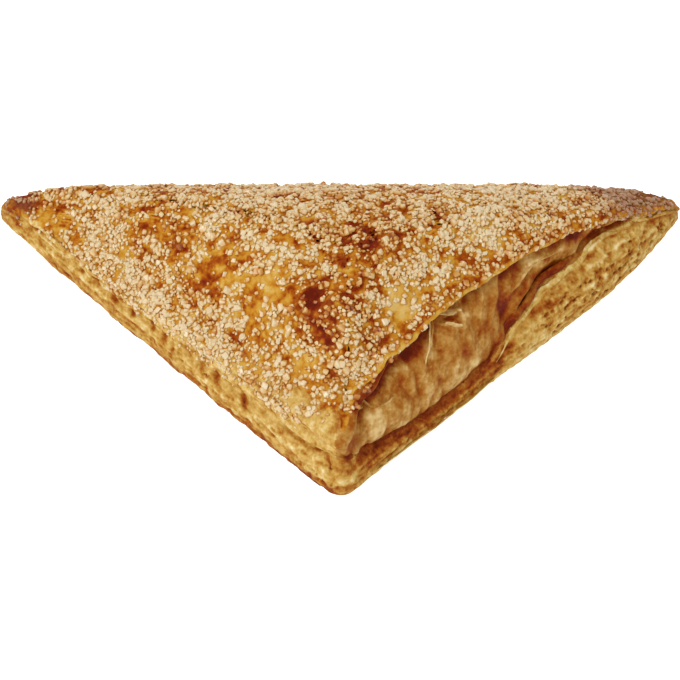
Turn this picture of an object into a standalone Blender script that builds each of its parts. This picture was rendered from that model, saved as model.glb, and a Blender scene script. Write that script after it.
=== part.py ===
"""A turnover pastry: a square of puff pastry folded corner to corner over its filling and baked.

The baked pastry is one solid. Its frame has +X along the folded edge, +Z up, -Y towards the square
corner where the two cut legs meet, and its origin under the middle of the box it fills, on its sole.

The skin is lofted. Around the outline, at each of many columns, a cross-section climbs the side
from the sole to the shoulder. A cut leg shows, from below, the lip of the lower leaf, the slit over
it, the web of stretched layers and the rim of the upper leaf. The folded back is a plain roll. The
right leg has gaped open and the left has not. Over the shoulders the upper leaf is a thin sheet,
sprung over a few named heights.
"""

import math
from dataclasses import dataclass

import bmesh
import bpy
import numpy as np
from mathutils import Vector, noise

MM = 0.001

# The outline of the lower leaf, seen from above, before its corners are rounded
LEG_REACH = 87.2 * MM  # from the middle of the fold to each sharp tip
LEG_DEPTH = 86.2 * MM  # from the fold to the sharp square corner
NEAR_RADIUS = 4.0 * MM
TIP_RADIUS = 1.6 * MM
LEFT_BOW = 0.5 * MM  # how far the middle of each side stands out of its straight line
RIGHT_BOW = 3.2 * MM
RIGHT_BOW_LEAN = 1.3  # the right leg stands out most towards its tip
FOLD_BOW = 0.5 * MM
EDGE_WAVER = 0.35 * MM  # the uneven line of every baked edge
WAVER_LENGTH = 9.0 * MM

# How far along the outline a column looks each way to find which way is inward
NEAR_LOOK = 16.0 * MM
TIP_LOOK = 24.0 * MM

# The folded back: a roll, then a straight climb that eases into the upper leaf
ROLL_RADIUS = 9.0 * MM
TIP_ROLL_RADIUS = 3.8 * MM
ROLL_TAPER = 8  # a high power keeps the roll full almost to the tips
CLIMB_ANGLE = math.radians(50.0)
CLIMB_RUN = 9.5 * MM
CLIMB_TAPER = 2
CLIMB_EASE = 0.12

# The sole, and what all the cross-sections of a cut leg share
SOLE_INSET = 2.6 * MM
HEEL_INSET = 0.5 * MM
HEEL_HEIGHT = 1.0 * MM
TIP_LIFT = 1.8 * MM  # how far the sole draws in and the heel draws up at a tip
TIP_LENGTH = 38.0 * MM
TIP_SHARE = 0.85  # how much of the shoulder and of the fold's climb a tip has no room for
RIM_THICKNESS = 1.7 * MM
SLIT_GAPE = 10.0 * MM  # a wider gape than this cuts no deeper
WEB_BELLY = 0.16
SHOULDER_RUN = 3.0 * MM
SHOULDER_RISE = 1.7 * MM

# The upper leaf, in millimetres: heights (x, y, z) that it is sprung over
LEAF_HEIGHTS = (
    (-2.0, 14.0, 34.8),
    (14.0, 8.0, 35.4),
    (-22.0, 16.0, 32.6),
    (-44.0, 25.0, 25.6),
    (32.0, 20.0, 32.4),
    (54.0, 30.0, 23.6),
    (-12.0, -8.0, 30.4),
    (4.0, -16.0, 29.6),
    (0.0, -27.0, 23.6),
)
SHOULDER_SLOPE = 0.55  # how steeply the leaf leaves the cut legs
FOLD_SLOPE = 0.95  # and the folded back
SLOPE_REACH = 1.6 * MM
SWELL = 0.5 * MM  # its slow unevenness
SWELL_LENGTH = 16.0 * MM
TROUGH_DEPTH = 2.2 * MM
TROUGH_WIDTH = 6.5 * MM
TROUGH_ENDS = (Vector((9.0 * MM, 20.0 * MM)), Vector((-7.5 * MM, -1.0 * MM)))

# How finely the skin is faceted
COLUMNS = 176
LEG_DENSITY = 1.35  # columns to a millimetre on a cut leg, against 1 on the plain fold
LEAF_RINGS = 12
SOLE_RINGS = 2
MIDDLE = Vector((2.0 * MM, 8.0 * MM))  # where the rings close, over the sole and under the top
ROUND_REACH = 26.0 * MM  # the leaf's rings grow rounder inwards, towards a circle this wide
BLEND_LENGTH = 11.0 * MM  # how gradually a leg's section turns into the fold's at a tip

CRUST_COLOUR = (0.56, 0.30, 0.09, 1.0)
CRUST_ROUGHNESS = 0.55


@dataclass(frozen=True)
class EdgePlace:
    """A place on a leaf's cut edge, in millimetres, at a share of the leg from the square corner."""

    at: float
    inset: float
    height: float


@dataclass(frozen=True)
class Leg:
    """A cut leg: the top edge of its lower leaf's lip, and the rim of its upper leaf.

    The slit over the lip and the overhang of the rim are shares of the gape between the two.
    """

    lip: tuple
    rim: tuple
    slit_share: float
    overhang_share: float


NEAR_LIP = EdgePlace(0.00, 2.6, 10.8)
NEAR_RIM = EdgePlace(0.00, 3.2, 17.0)
TIP_LIP = EdgePlace(1.00, 0.6, 7.0)
TIP_RIM = EdgePlace(1.00, 1.2, 9.0)
RIGHT_LEG = Leg(
    lip=(
        NEAR_LIP,
        EdgePlace(0.05, 2.3, 8.8),
        EdgePlace(0.15, 1.4, 7.0),
        EdgePlace(0.24, 0.6, 5.4),
        EdgePlace(0.40, 0.9, 6.4),
        EdgePlace(0.52, 3.8, 11.2),
        EdgePlace(0.60, 6.2, 14.0),
        EdgePlace(0.68, 5.6, 14.2),
        EdgePlace(0.74, 7.4, 16.0),
        EdgePlace(0.83, 6.0, 15.4),
        EdgePlace(0.92, 3.0, 11.0),
        TIP_LIP,
    ),
    rim=(
        NEAR_RIM,
        EdgePlace(0.14, 7.6, 21.2),
        EdgePlace(0.22, 10.0, 24.2),
        EdgePlace(0.36, 11.0, 27.4),
        EdgePlace(0.54, 10.4, 27.5),
        EdgePlace(0.66, 9.4, 25.6),
        EdgePlace(0.76, 7.2, 22.4),
        EdgePlace(0.85, 5.4, 18.0),
        EdgePlace(0.92, 3.5, 13.6),
        TIP_RIM,
    ),
    slit_share=0.40,
    overhang_share=0.13,
)
LEFT_LEG = Leg(
    lip=(
        NEAR_LIP,
        EdgePlace(0.15, 1.4, 10.0),
        EdgePlace(0.40, 0.7, 9.2),
        EdgePlace(0.70, 0.5, 8.4),
        TIP_LIP,
    ),
    rim=(
        NEAR_RIM,
        EdgePlace(0.15, 3.2, 16.8),
        EdgePlace(0.30, 2.9, 16.4),
        EdgePlace(0.45, 2.2, 14.8),
        EdgePlace(0.65, 1.4, 12.4),
        EdgePlace(0.85, 1.6, 12.0),
        TIP_RIM,
    ),
    slit_share=0.26,
    overhang_share=0.20,
)


@dataclass(frozen=True)
class Column:
    """A place on the outline: its point, its way inward, its share of its leg and of the fold.

    Tipness is 1 at a tip, and 0 beyond the tip's length from it.
    """

    point: Vector
    inward: Vector
    leg: Leg
    along: float
    foldness: float
    tipness: float


def smooth(share):
    """A share from 0 to 1, eased at both ends."""
    share = min(max(share, 0.0), 1.0)
    return share * share * (3.0 - 2.0 * share)


def side_points(start, end, bow, lean, count):
    """Points along one side of the triangle, standing out by bow, most of all where lean moves it."""
    run = end - start
    outward = Vector((run.y, -run.x)).normalized()
    for i in range(count):
        along = i / count
        leaned = along ** (1 + lean)
        yield start + run * along + outward * bow * math.sin(math.pi * leaned)


def rounded(corner, before, after, radius, steps=8):
    """The arc that rounds a corner, as points from the side before it to the side after it."""
    to_before = (before - corner).normalized()
    to_after = (after - corner).normalized()
    half_angle = to_before.angle(to_after) / 2
    centre = corner + (to_before + to_after).normalized() * radius / math.sin(half_angle)
    reach = radius / math.tan(half_angle)
    first = corner + to_before * reach - centre
    last = corner + to_after * reach - centre
    turn = first.angle(last)
    for i in range(steps + 1):
        share = i / steps
        near_first, near_last = math.sin((1 - share) * turn), math.sin(share * turn)
        yield centre + (first * near_first + last * near_last) / math.sin(turn)


def rounded_triangle():
    """The lower leaf's outline as a closed run of points, and which of them is at each corner."""
    corners = (
        Vector((0.0, -LEG_DEPTH / 2)),
        Vector((LEG_REACH, LEG_DEPTH / 2)),
        Vector((-LEG_REACH, LEG_DEPTH / 2)),
    )
    radii = (NEAR_RADIUS, TIP_RADIUS, TIP_RADIUS)
    bows = ((RIGHT_BOW, RIGHT_BOW_LEAN), (FOLD_BOW, 0.0), (LEFT_BOW, 0.0))
    arcs = [
        list(rounded(corner, corners[i - 1], corners[(i + 1) % 3], radii[i]))
        for i, corner in enumerate(corners)
    ]
    points = []
    corner_at = []
    for i, arc in enumerate(arcs):
        corner_at.append(len(points) + len(arc) // 2)
        points += arc
        points += list(side_points(arc[-1], arcs[(i + 1) % 3][0], *bows[i], 60))[1:]
    return points, corner_at


class Outline:
    """The closed outline, measured by length from the middle of the square corner."""

    def __init__(self):
        """Measures the length up to each point and to each tip."""
        points, (near, right, left) = rounded_triangle()
        points = points[near:] + points[: near + 1]
        steps = [(b - a).length for a, b in zip(points, points[1:])]
        self.lengths = np.concatenate([[0.0], np.cumsum(steps)])
        self.xs = [p.x for p in points]
        self.ys = [p.y for p in points]
        self.whole = float(self.lengths[-1])
        self.right_tip = float(self.lengths[right - near])
        self.left_tip = float(self.lengths[left - near])

    def place(self, length):
        """The point at a length."""
        length %= self.whole
        x, y = np.interp(length, self.lengths, self.xs), np.interp(length, self.lengths, self.ys)
        return Vector((float(x), float(y)))

    def inward(self, length):
        """The way inward at a length, longer where the square corner is mitred."""
        nearness = smooth(2 - 4 * min(length, self.whole - length) / self.right_tip)
        look = TIP_LOOK + (NEAR_LOOK - TIP_LOOK) * nearness
        chord = self.place(length + look) - self.place(length - look)
        mitre = 1 + (2 * look / chord.length - 1) * nearness
        return Vector((-chord.y, chord.x)).normalized() * mitre

    def column_lengths(self):
        """Lengths for the columns: a running sum of the wanted density, cut into equal shares."""
        ruler = np.linspace(0.0, self.whole, 4000)
        on_fold = (ruler > self.right_tip) & (ruler < self.left_tip)
        density = np.cumsum(np.where(on_fold, 1.0, LEG_DENSITY))
        shares = (np.arange(COLUMNS) + 0.5) / COLUMNS
        return [float(v) for v in np.interp(shares, density / density[-1], ruler)]

    def column(self, length):
        """The column at a length."""
        inward = self.inward(length)
        waver = noise.noise(Vector((length / WAVER_LENGTH, 3.1, 0.0)))
        point = self.place(length) - inward * EDGE_WAVER * waver
        past_tip = min(length - self.right_tip, self.left_tip - length)
        ends = smooth(past_tip / BLEND_LENGTH + 0.5), smooth(1 - abs(past_tip) / TIP_LENGTH)
        if length < (self.right_tip + self.left_tip) / 2:
            return Column(point, inward, RIGHT_LEG, min(length / self.right_tip, 1.0), *ends)
        along = (self.whole - length) / (self.whole - self.left_tip)
        return Column(point, inward, LEFT_LEG, min(along, 1.0), *ends)


def edge_at(edge, along):
    """The inset and height of a leaf's edge, eased between the places on each side of this share."""
    for low, high in zip(edge, edge[1:]):
        if along <= high.at:
            share = smooth((along - low.at) / (high.at - low.at))
            inset = low.inset + (high.inset - low.inset) * share
            height = low.height + (high.height - low.height) * share
            return MM * inset, MM * height
    return MM * edge[-1].inset, MM * edge[-1].height


def leg_profile(leg, along, tipness):
    """The side of a cut leg as (inset, height) pairs from the heel to the shoulder."""
    lip_inset, lip = edge_at(leg.lip, along)
    rim_inset, rim = edge_at(leg.rim, along)
    shoulder = 1 - TIP_SHARE * tipness
    gape = max(rim - RIM_THICKNESS - lip, 0.4 * MM)
    slit = 0.4 * MM + leg.slit_share * min(gape, SLIT_GAPE)
    ledge = min(gape, 4.0 * MM)
    foot, foot_height = lip_inset + 0.75 * slit, lip + 0.35 * ledge
    head, head_height = rim_inset + leg.overhang_share * gape, lip + gape - 0.22 * ledge
    belly = WEB_BELLY * (head_height - foot_height)
    run, rise = head - foot, head_height - foot_height
    return [
        (HEEL_INSET + TIP_LIFT * tipness**4, HEEL_HEIGHT + 0.4 * TIP_LIFT * tipness**4),
        (0.0, 0.38 * lip),
        (0.25 * lip_inset, 0.72 * lip),
        (lip_inset, lip),
        (lip_inset + slit, lip + 0.12 * ledge),
        (foot, foot_height),
        (foot + 0.33 * run - belly, foot_height + 0.33 * rise),
        (foot + 0.72 * run - belly, foot_height + 0.72 * rise),
        (head, head_height),
        (rim_inset + 0.15 * MM, lip + gape),
        (rim_inset, lip + gape + 0.6 * RIM_THICKNESS),
        (rim_inset + 0.4 * MM, lip + gape + RIM_THICKNESS),
        (
            rim_inset + 0.4 * MM + SHOULDER_RUN * shoulder,
            lip + gape + RIM_THICKNESS + SHOULDER_RISE * shoulder,
        ),
    ]


def fold_profile(offset, tipness, count):
    """The folded back as (inset, height) pairs, at a place this share of the reach off its middle."""
    radius = TIP_ROLL_RADIUS + (ROLL_RADIUS - TIP_ROLL_RADIUS) * (1 - offset**ROLL_TAPER)
    climb_run = CLIMB_RUN * (1 - offset**CLIMB_TAPER) * (1 - TIP_SHARE * tipness)
    roll_from = -math.asin(1 - HEEL_HEIGHT / radius)
    roll_to = math.pi / 2 - CLIMB_ANGLE
    rolled = count - 5
    pairs = []
    for i in range(rolled):
        angle = roll_from + (roll_to - roll_from) * i / (rolled - 1)
        pairs.append((radius * (1 - math.cos(angle)), radius * (1 + math.sin(angle))))
    inset, height = pairs[-1]
    for i in range(1, 6):
        share = i / 5
        run = climb_run * share + 0.2 * MM * i
        rise = run * math.tan(CLIMB_ANGLE) * (1 - CLIMB_EASE * share * share)
        pairs.append((inset + run, height + rise))
    return pairs


def column_profile(column):
    """A column's side, part cut leg and part fold near a tip."""
    leg = leg_profile(column.leg, column.along, column.tipness)
    offset = min(abs(column.point.x) / LEG_REACH, 1.0)
    fold = fold_profile(offset, column.tipness, len(leg))
    share = column.foldness
    return [
        (a[0] * (1 - share) + b[0] * share, a[1] * (1 - share) + b[1] * share)
        for a, b in zip(leg, fold)
    ]


def sheet_bend(away):
    """How a thin sheet bends at a distance from a place where it is held."""
    return np.where(away > 0, away**2 * np.log(np.maximum(away, 1e-12)), 0.0)


class SprungSheet:
    """A thin sheet sprung over held places: a thin-plate spline through (x, y, z) points."""

    def __init__(self, held):
        """Solves for the pull at each held place and for the sheet's own tilt."""
        held = np.asarray(held)
        self.places = held[:, :2]
        count = len(held)
        tilt = np.column_stack([np.ones(count), self.places])
        away = np.linalg.norm(self.places[:, None] - self.places[None], axis=2)
        bends = np.zeros((count + 3, count + 3))
        bends[:count, :count] = sheet_bend(away)
        bends[:count, count:] = tilt
        bends[count:, :count] = tilt.T
        self.pulls = np.linalg.solve(bends, np.concatenate([held[:, 2], np.zeros(3)]))

    def height(self, x, y):
        """The sheet's height over one place."""
        away = np.linalg.norm(self.places - (x, y), axis=1)
        bent = sheet_bend(away) @ self.pulls[:-3]
        return float(bent + self.pulls[-3] + self.pulls[-2] * x + self.pulls[-1] * y)


def upper_leaf(columns, shoulder):
    """The sheet held by the shoulder, leaving it at its slope, and by the named heights within."""
    held = [tuple(MM * v for v in place) for place in LEAF_HEIGHTS]
    for column, (x, y, z) in list(zip(columns, shoulder))[::3]:
        slope = SHOULDER_SLOPE + (FOLD_SLOPE - SHOULDER_SLOPE) * column.foldness
        inner = Vector((x, y)) + column.inward * SLOPE_REACH
        held.append((x, y, z))
        if column.tipness == 0:
            held.append((*inner, z + slope * SLOPE_REACH))
    return SprungSheet(held)


def trough(place):
    """How far the shallow valley across the upper leaf sinks at this place."""
    start, end = TROUGH_ENDS
    run = end - start
    along = min(max((place - start).dot(run) / run.length_squared, 0.0), 1.0)
    away = (place - start - run * along).length
    return TROUGH_DEPTH * math.exp(-((away / TROUGH_WIDTH) ** 2))


def leaf_height(sheet, place, share, miss):
    """The upper leaf's height, at a share of the way from its middle out to the shoulder."""
    swell = SWELL * noise.noise(Vector((place.x, place.y, 0.0)) / SWELL_LENGTH)
    held = share**16
    return sheet.height(*place) + miss * held + (swell - trough(place)) * (1 - held)


def pastry_rings(columns):
    """Closed rings of points from the middle of the sole, up the sides, to the middle of the top."""
    profiles = [column_profile(c) for c in columns]
    sole = [c.point + c.inward * (SOLE_INSET + TIP_LIFT * c.tipness**4) for c in columns]
    rings = []
    for i in range(1, SOLE_RINGS + 1):
        share = i / SOLE_RINGS
        rings.append([(*MIDDLE.lerp(p, share), 0.0) for p in sole])
    for level in range(len(profiles[0])):
        ring = []
        for column, profile in zip(columns, profiles):
            inset, height = profile[level]
            ring.append((*(column.point + column.inward * inset), height))
        rings.append(ring)
    shoulder = rings[-1]
    sheet = upper_leaf(columns, shoulder)
    for i in range(1, LEAF_RINGS):
        share = 1 - i / LEAF_RINGS
        ring = []
        for x, y, z in shoulder:
            spoke = Vector((x, y)) - MIDDLE
            reach = ROUND_REACH + (spoke.length - ROUND_REACH) * share
            place = MIDDLE + spoke.normalized() * reach * share
            miss = z - sheet.height(x, y)
            ring.append((*place, leaf_height(sheet, place, share, miss)))
        rings.append(ring)
    return rings, (*MIDDLE, 0.0), (*MIDDLE, leaf_height(sheet, MIDDLE, 0.0, 0.0))


def centred(rings, bottom, top):
    """The same points, moved so that the box they fill is centred over the origin."""
    every = np.array([p for ring in rings for p in ring])
    middle = (every.max(axis=0) + every.min(axis=0)) / 2

    def moved(point):
        """One point after the move, at its own height."""
        return (point[0] - middle[0], point[1] - middle[1], point[2])

    return [[moved(p) for p in ring] for ring in rings], moved(bottom), moved(top)


def skin(name, rings, bottom, top):
    """A closed mesh object over the rings, with a point at the middle of the sole and of the top."""
    mesh = bmesh.new()
    loops = [[mesh.verts.new(p) for p in ring] for ring in rings]
    count = len(rings[0])
    for low, high in zip(loops, loops[1:]):
        for i in range(count):
            j = (i + 1) % count
            mesh.faces.new((low[i], low[j], high[j], high[i]))
    sole_middle, top_middle = mesh.verts.new(bottom), mesh.verts.new(top)
    for i in range(count):
        j = (i + 1) % count
        mesh.faces.new((loops[0][j], loops[0][i], sole_middle))
        mesh.faces.new((loops[-1][i], loops[-1][j], top_middle))
    bmesh.ops.triangulate(mesh, faces=[f for f in mesh.faces if len(f.verts) > 3])
    data = bpy.data.meshes.new(name)
    mesh.to_mesh(data)
    mesh.free()
    data.shade_smooth()
    made = bpy.data.objects.new(name, data)
    bpy.context.scene.collection.objects.link(made)
    return made


def crust_material():
    """Baked puff pastry: glazed golden brown."""
    material = bpy.data.materials.new("baked_crust")
    material.use_nodes = True
    shader = material.node_tree.nodes["Principled BSDF"]
    shader.inputs["Base Color"].default_value = CRUST_COLOUR
    shader.inputs["Roughness"].default_value = CRUST_ROUGHNESS
    shader.inputs["Metallic"].default_value = 0.0
    return material


def main():
    """Clears the scene and makes the pastry."""
    for obj in list(bpy.data.objects):
        bpy.data.objects.remove(obj)
    outline = Outline()
    columns = [outline.column(length) for length in outline.column_lengths()]
    turnover = skin("turnover", *centred(*pastry_rings(columns)))
    turnover.data.materials.append(crust_material())


main()
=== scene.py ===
"""A sugared turnover pastry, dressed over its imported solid.

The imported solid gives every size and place. Its skin is copied, cut finer and given the relief of
baked puff pastry, thin leaves are laid where the right side has gaped open, and coarse sugar is
strewn over the top.
"""

import logging
import math
from contextlib import contextmanager
from dataclasses import dataclass, field
from enum import Enum, IntEnum
from itertools import product
from typing import Iterator

import bpy
import numpy as np
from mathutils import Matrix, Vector, noise

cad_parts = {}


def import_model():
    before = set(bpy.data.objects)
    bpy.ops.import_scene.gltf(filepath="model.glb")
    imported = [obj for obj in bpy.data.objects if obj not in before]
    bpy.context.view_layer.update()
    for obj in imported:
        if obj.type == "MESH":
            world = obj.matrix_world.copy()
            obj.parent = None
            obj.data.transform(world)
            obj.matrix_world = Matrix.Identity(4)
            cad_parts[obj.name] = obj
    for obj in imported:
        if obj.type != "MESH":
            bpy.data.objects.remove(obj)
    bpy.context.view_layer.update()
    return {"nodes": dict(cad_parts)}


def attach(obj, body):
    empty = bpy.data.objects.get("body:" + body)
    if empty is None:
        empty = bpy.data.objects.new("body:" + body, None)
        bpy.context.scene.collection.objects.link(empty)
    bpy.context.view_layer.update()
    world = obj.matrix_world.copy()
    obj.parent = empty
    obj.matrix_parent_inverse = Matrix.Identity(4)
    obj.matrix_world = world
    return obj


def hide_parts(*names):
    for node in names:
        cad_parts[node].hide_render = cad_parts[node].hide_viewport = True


MM = 0.001
NODE = "turnover"
BODY = "root"
SEED = 41
DOUBLES = 0.002 * MM  # points nearer than this are one point
SHUT_FROM = 0.87  # the share along the right leg where the gape has closed again
WIPED = -1.0  # a spot with less sugar than this has none at all in its middle

log = logging.getLogger("turnover")


class Ring(IntEnum):
    """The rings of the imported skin, counted from the middle of the sole to the middle of the top."""

    SOLE_EDGE = 2
    HEEL = 3
    LIP_LOW = 4
    LIP_HIGH = 5
    LIP = 6
    SLIT = 7
    WEB_FOOT = 8
    WEB_LOW = 9
    WEB_HEAD = 11
    RIM_LOW = 12
    RIM_MIDDLE = 13
    RIM = 14
    SHOULDER = 15
    TOP_MIDDLE = 27


class Pick(Enum):
    """What edit mode selects, as its select-mode flags."""

    POINTS = (True, False, False)
    EDGES = (False, True, False)
    FACES = (False, False, True)


# ---------------------------------------------------------------- helpers


def linear(colour: str) -> tuple[float, float, float, float]:
    """Turns an sRGB hex colour into linear RGBA.

    Args:
        colour: six hex digits after a hash.

    Returns:
        Red, green, blue and alpha, linear.
    """
    channels = [int(colour[i : i + 2], 16) / 255 for i in (1, 3, 5)]
    return (*[c / 12.92 if c <= 0.04045 else ((c + 0.055) / 1.055) ** 2.4 for c in channels], 1.0)


def eased(low: float, high: float, value: np.ndarray) -> np.ndarray:
    """A share that is 0 at low and 1 at high, eased at both ends.

    Args:
        low: where it starts.
        high: where it ends; it may be below low, for a share that falls.
        value: the values to judge.

    Returns:
        The share at each value.
    """
    share = np.clip((value - low) / (high - low), 0.0, 1.0)
    return share * share * (3.0 - 2.0 * share)


def noise_at(places: np.ndarray, size: float, seed: float = 0.0) -> np.ndarray:
    """Smooth noise, from about -1 to 1.

    Args:
        places: points in metres.
        size: how wide its lumps are, in metres.
        seed: another number gives another pattern.

    Returns:
        One value for each point.
    """
    shift = Vector((7.13 * seed + 0.5, 3.71 * seed + 0.5, 5.37 * seed + 0.5))
    return np.array([noise.noise(Vector(p) / size + shift) for p in places])


def cells_at(places: np.ndarray, size: float, seed: float = 0.0) -> tuple[np.ndarray, np.ndarray]:
    """Cells as in a foam.

    Args:
        places: points in metres.
        size: how wide a cell is, in metres.
        seed: another number gives another foam.

    Returns:
        How far each point is from its cell's wall, 0 on the wall, and its cell's own random share.
    """
    shift = Vector((2.9 * seed, 4.7 * seed, 1.3 * seed))
    walls, shares = [], []
    for p in places:
        gaps, seeds = noise.voronoi(Vector(p) / size + shift)
        walls.append(gaps[1] - gaps[0])
        shares.append(noise.cell(seeds[0] * 37.0))
    return np.array(walls), np.array(shares)


def read_points(mesh: bpy.types.Mesh) -> np.ndarray:
    """The mesh's points.

    Args:
        mesh: the mesh.

    Returns:
        Rows of x, y, z.
    """
    flat = np.empty(len(mesh.vertices) * 3, np.float32)
    mesh.vertices.foreach_get("co", flat)
    return flat.reshape(-1, 3).astype(float)


def write_points(mesh: bpy.types.Mesh, places: np.ndarray) -> None:
    """Moves the mesh's points to these rows of x, y, z."""
    mesh.vertices.foreach_set("co", places.astype(np.float32).ravel())
    mesh.update()


def read_normals(mesh: bpy.types.Mesh) -> np.ndarray:
    """The way outward at each of the mesh's points."""
    return np.array([n.vector[:] for n in mesh.vertex_normals])


def set_values(mesh: bpy.types.Mesh, name: str, values: np.ndarray) -> None:
    """Keeps one number for each point of the mesh, for its material or for later steps."""
    kept = mesh.attributes.get(name) or mesh.attributes.new(name, "FLOAT", "POINT")
    kept.data.foreach_set("value", np.asarray(values, np.float32))


def get_values(mesh: bpy.types.Mesh, name: str) -> np.ndarray:
    """The numbers that set_values kept.

    Args:
        mesh: the mesh.
        name: what they were kept as.

    Returns:
        One number for each point.
    """
    values = np.empty(len(mesh.vertices), np.float32)
    mesh.attributes[name].data.foreach_get("value", values)
    return values.astype(float)


def deselect_all() -> None:
    """Deselects every object."""
    for obj in bpy.context.selected_objects:
        obj.select_set(False)


def make_active(obj: bpy.types.Object) -> None:
    """Selects one object alone and makes it the active one.

    Args:
        obj: the object.
    """
    deselect_all()
    obj.select_set(True)
    bpy.context.view_layer.objects.active = obj


@contextmanager
def editing(obj: bpy.types.Object, pick: Pick, chosen: np.ndarray | None = None) -> Iterator[None]:
    """Edit mode on one object, with only the chosen elements selected.

    Args:
        obj: the mesh object.
        pick: what kind of element is chosen.
        chosen: a flag for each element of that kind, or None for all of them.

    Yields:
        Nothing; edit mode ends after the block.
    """
    make_active(obj)
    bpy.context.tool_settings.mesh_select_mode = pick.value
    mesh = obj.data
    if chosen is not None:
        for kind, elements in zip(Pick, (mesh.vertices, mesh.edges, mesh.polygons)):
            flags = chosen if kind is pick else np.zeros(len(elements), bool)
            elements.foreach_set("select", flags)
    bpy.ops.object.mode_set(mode="EDIT")
    if chosen is None:
        bpy.ops.mesh.select_all(action="SELECT")
    yield
    bpy.ops.object.mode_set(mode="OBJECT")


def apply_modifier(obj: bpy.types.Object, kind: str, **settings: object) -> None:
    """Adds a modifier with its settings and applies it.

    Args:
        obj: the mesh object.
        kind: the modifier's type.
        settings: its properties.
    """
    make_active(obj)
    modifier = obj.modifiers.new(kind.title(), kind)
    for name, value in settings.items():
        setattr(modifier, name, value)
    bpy.ops.object.modifier_apply(modifier=modifier.name)


def add_node(
    tree: bpy.types.NodeTree,
    kind: str,
    links: dict[str | int, bpy.types.NodeSocket] | None = None,
    values: dict[str | int, object] | None = None,
    **settings: object,
) -> bpy.types.Node:
    """Adds a shader node with its settings, constants and links.

    Args:
        tree: the material's node tree.
        kind: the node's type.
        links: sockets of other nodes, by the input that each feeds.
        values: constants, by input.
        settings: the node's own properties.

    Returns:
        The node.
    """
    made = tree.nodes.new(kind)
    for name, value in settings.items():
        setattr(made, name, value)
    for name, value in (values or {}).items():
        made.inputs[name].default_value = value
    for name, source in (links or {}).items():
        tree.links.new(source, made.inputs[name])
    return made


def set_stops(ramp: bpy.types.ColorRamp, stops: tuple[tuple[float, str], ...]) -> None:
    """Gives a colour ramp its stops.

    Args:
        ramp: the ramp.
        stops: a place from 0 to 1 and a hex colour for each.
    """
    while len(ramp.elements) < len(stops):
        ramp.elements.new(0.5)
    for element, (place, colour) in zip(ramp.elements, stops):
        element.position = place
        element.color = linear(colour)


def scorch(tree: bpy.types.NodeTree, colour: bpy.types.NodeSocket, most: float, hue: str) -> None:
    """Feeds a colour to the shader, turned mauve brown where the oven caught it.

    Args:
        tree: the material's node tree.
        colour: the colour elsewhere.
        most: how much of it is lost where the mesh's "scorch" value is 1.
        hue: what it turns to.
    """
    caught = add_node(tree, "ShaderNodeAttribute", attribute_name="scorch").outputs["Fac"]
    share = add_node(tree, "ShaderNodeMath", operation="MULTIPLY", links={0: caught}, values={1: most})
    mixed = add_node(
        tree,
        "ShaderNodeMixRGB",
        links={"Fac": share.outputs[0], "Color1": colour},
        values={"Color2": linear(hue)},
    )
    tree.links.new(mixed.outputs["Color"], tree.nodes["Principled BSDF"].inputs["Base Color"])


def scorch_at(at: np.ndarray) -> np.ndarray:
    """How far the oven caught each place near the two sharp tips.

    Args:
        at: rows of x, y, z.

    Returns:
        From 0 to 1, for each place.
    """
    x = at[:, 0] / MM + 4.0 * noise_at(at, 5 * MM, 25)
    right_tip = eased(53.0, 65.0, x + 0.7 * (at[:, 1] / MM - 36.0))
    left_tip = eased(-74.0, -80.0, x)
    return np.maximum(right_tip, left_tip)


def on_face(across: np.ndarray, up: np.ndarray) -> np.ndarray:
    """Places on a cut face rolled out flat, to lay noise on: across it and up it, in metres."""
    return np.column_stack([across, np.zeros(len(across)), up])


def rim_low(along: np.ndarray) -> np.ndarray:
    """The level where the upper leaf's skin ends over the gape: higher near the square corner."""
    return Ring.RIM_LOW + 0.3 + 2.1 * eased(0.30, 0.17, along)


def claim(obj: bpy.types.Object) -> None:
    """Makes a finished piece ride on the pastry's body."""
    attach(obj, BODY)


# ---------------------------------------------------------------- finishes


@dataclass(frozen=True)
class Finish:
    """A finish, made as one material that all of its pieces share.

    Attributes:
        name: the material's name.
        stops: its colours, from the palest to the darkest.
        roughness: how matt it is.
        subsurface: how much light goes into it and out again.
    """

    name: str
    stops: tuple[tuple[float, str], ...]
    roughness: float
    subsurface: float

    def material(self) -> bpy.types.Material:
        """Makes the material, or finds it if it is made already.

        Returns:
            The material.
        """
        made = bpy.data.materials.get(self.name)
        if made is None:
            made = bpy.data.materials.new(self.name)
            made.use_nodes = True
            shader = made.node_tree.nodes["Principled BSDF"]
            shader.inputs["Subsurface Weight"].default_value = self.subsurface
            self.dress(made.node_tree, shader)
        return made

    def dress(self, tree: bpy.types.NodeTree, shader: bpy.types.Node) -> None:
        """Adds the nodes of this kind of finish.

        Args:
            tree: the material's node tree.
            shader: its shader.
        """
        raise NotImplementedError


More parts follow.
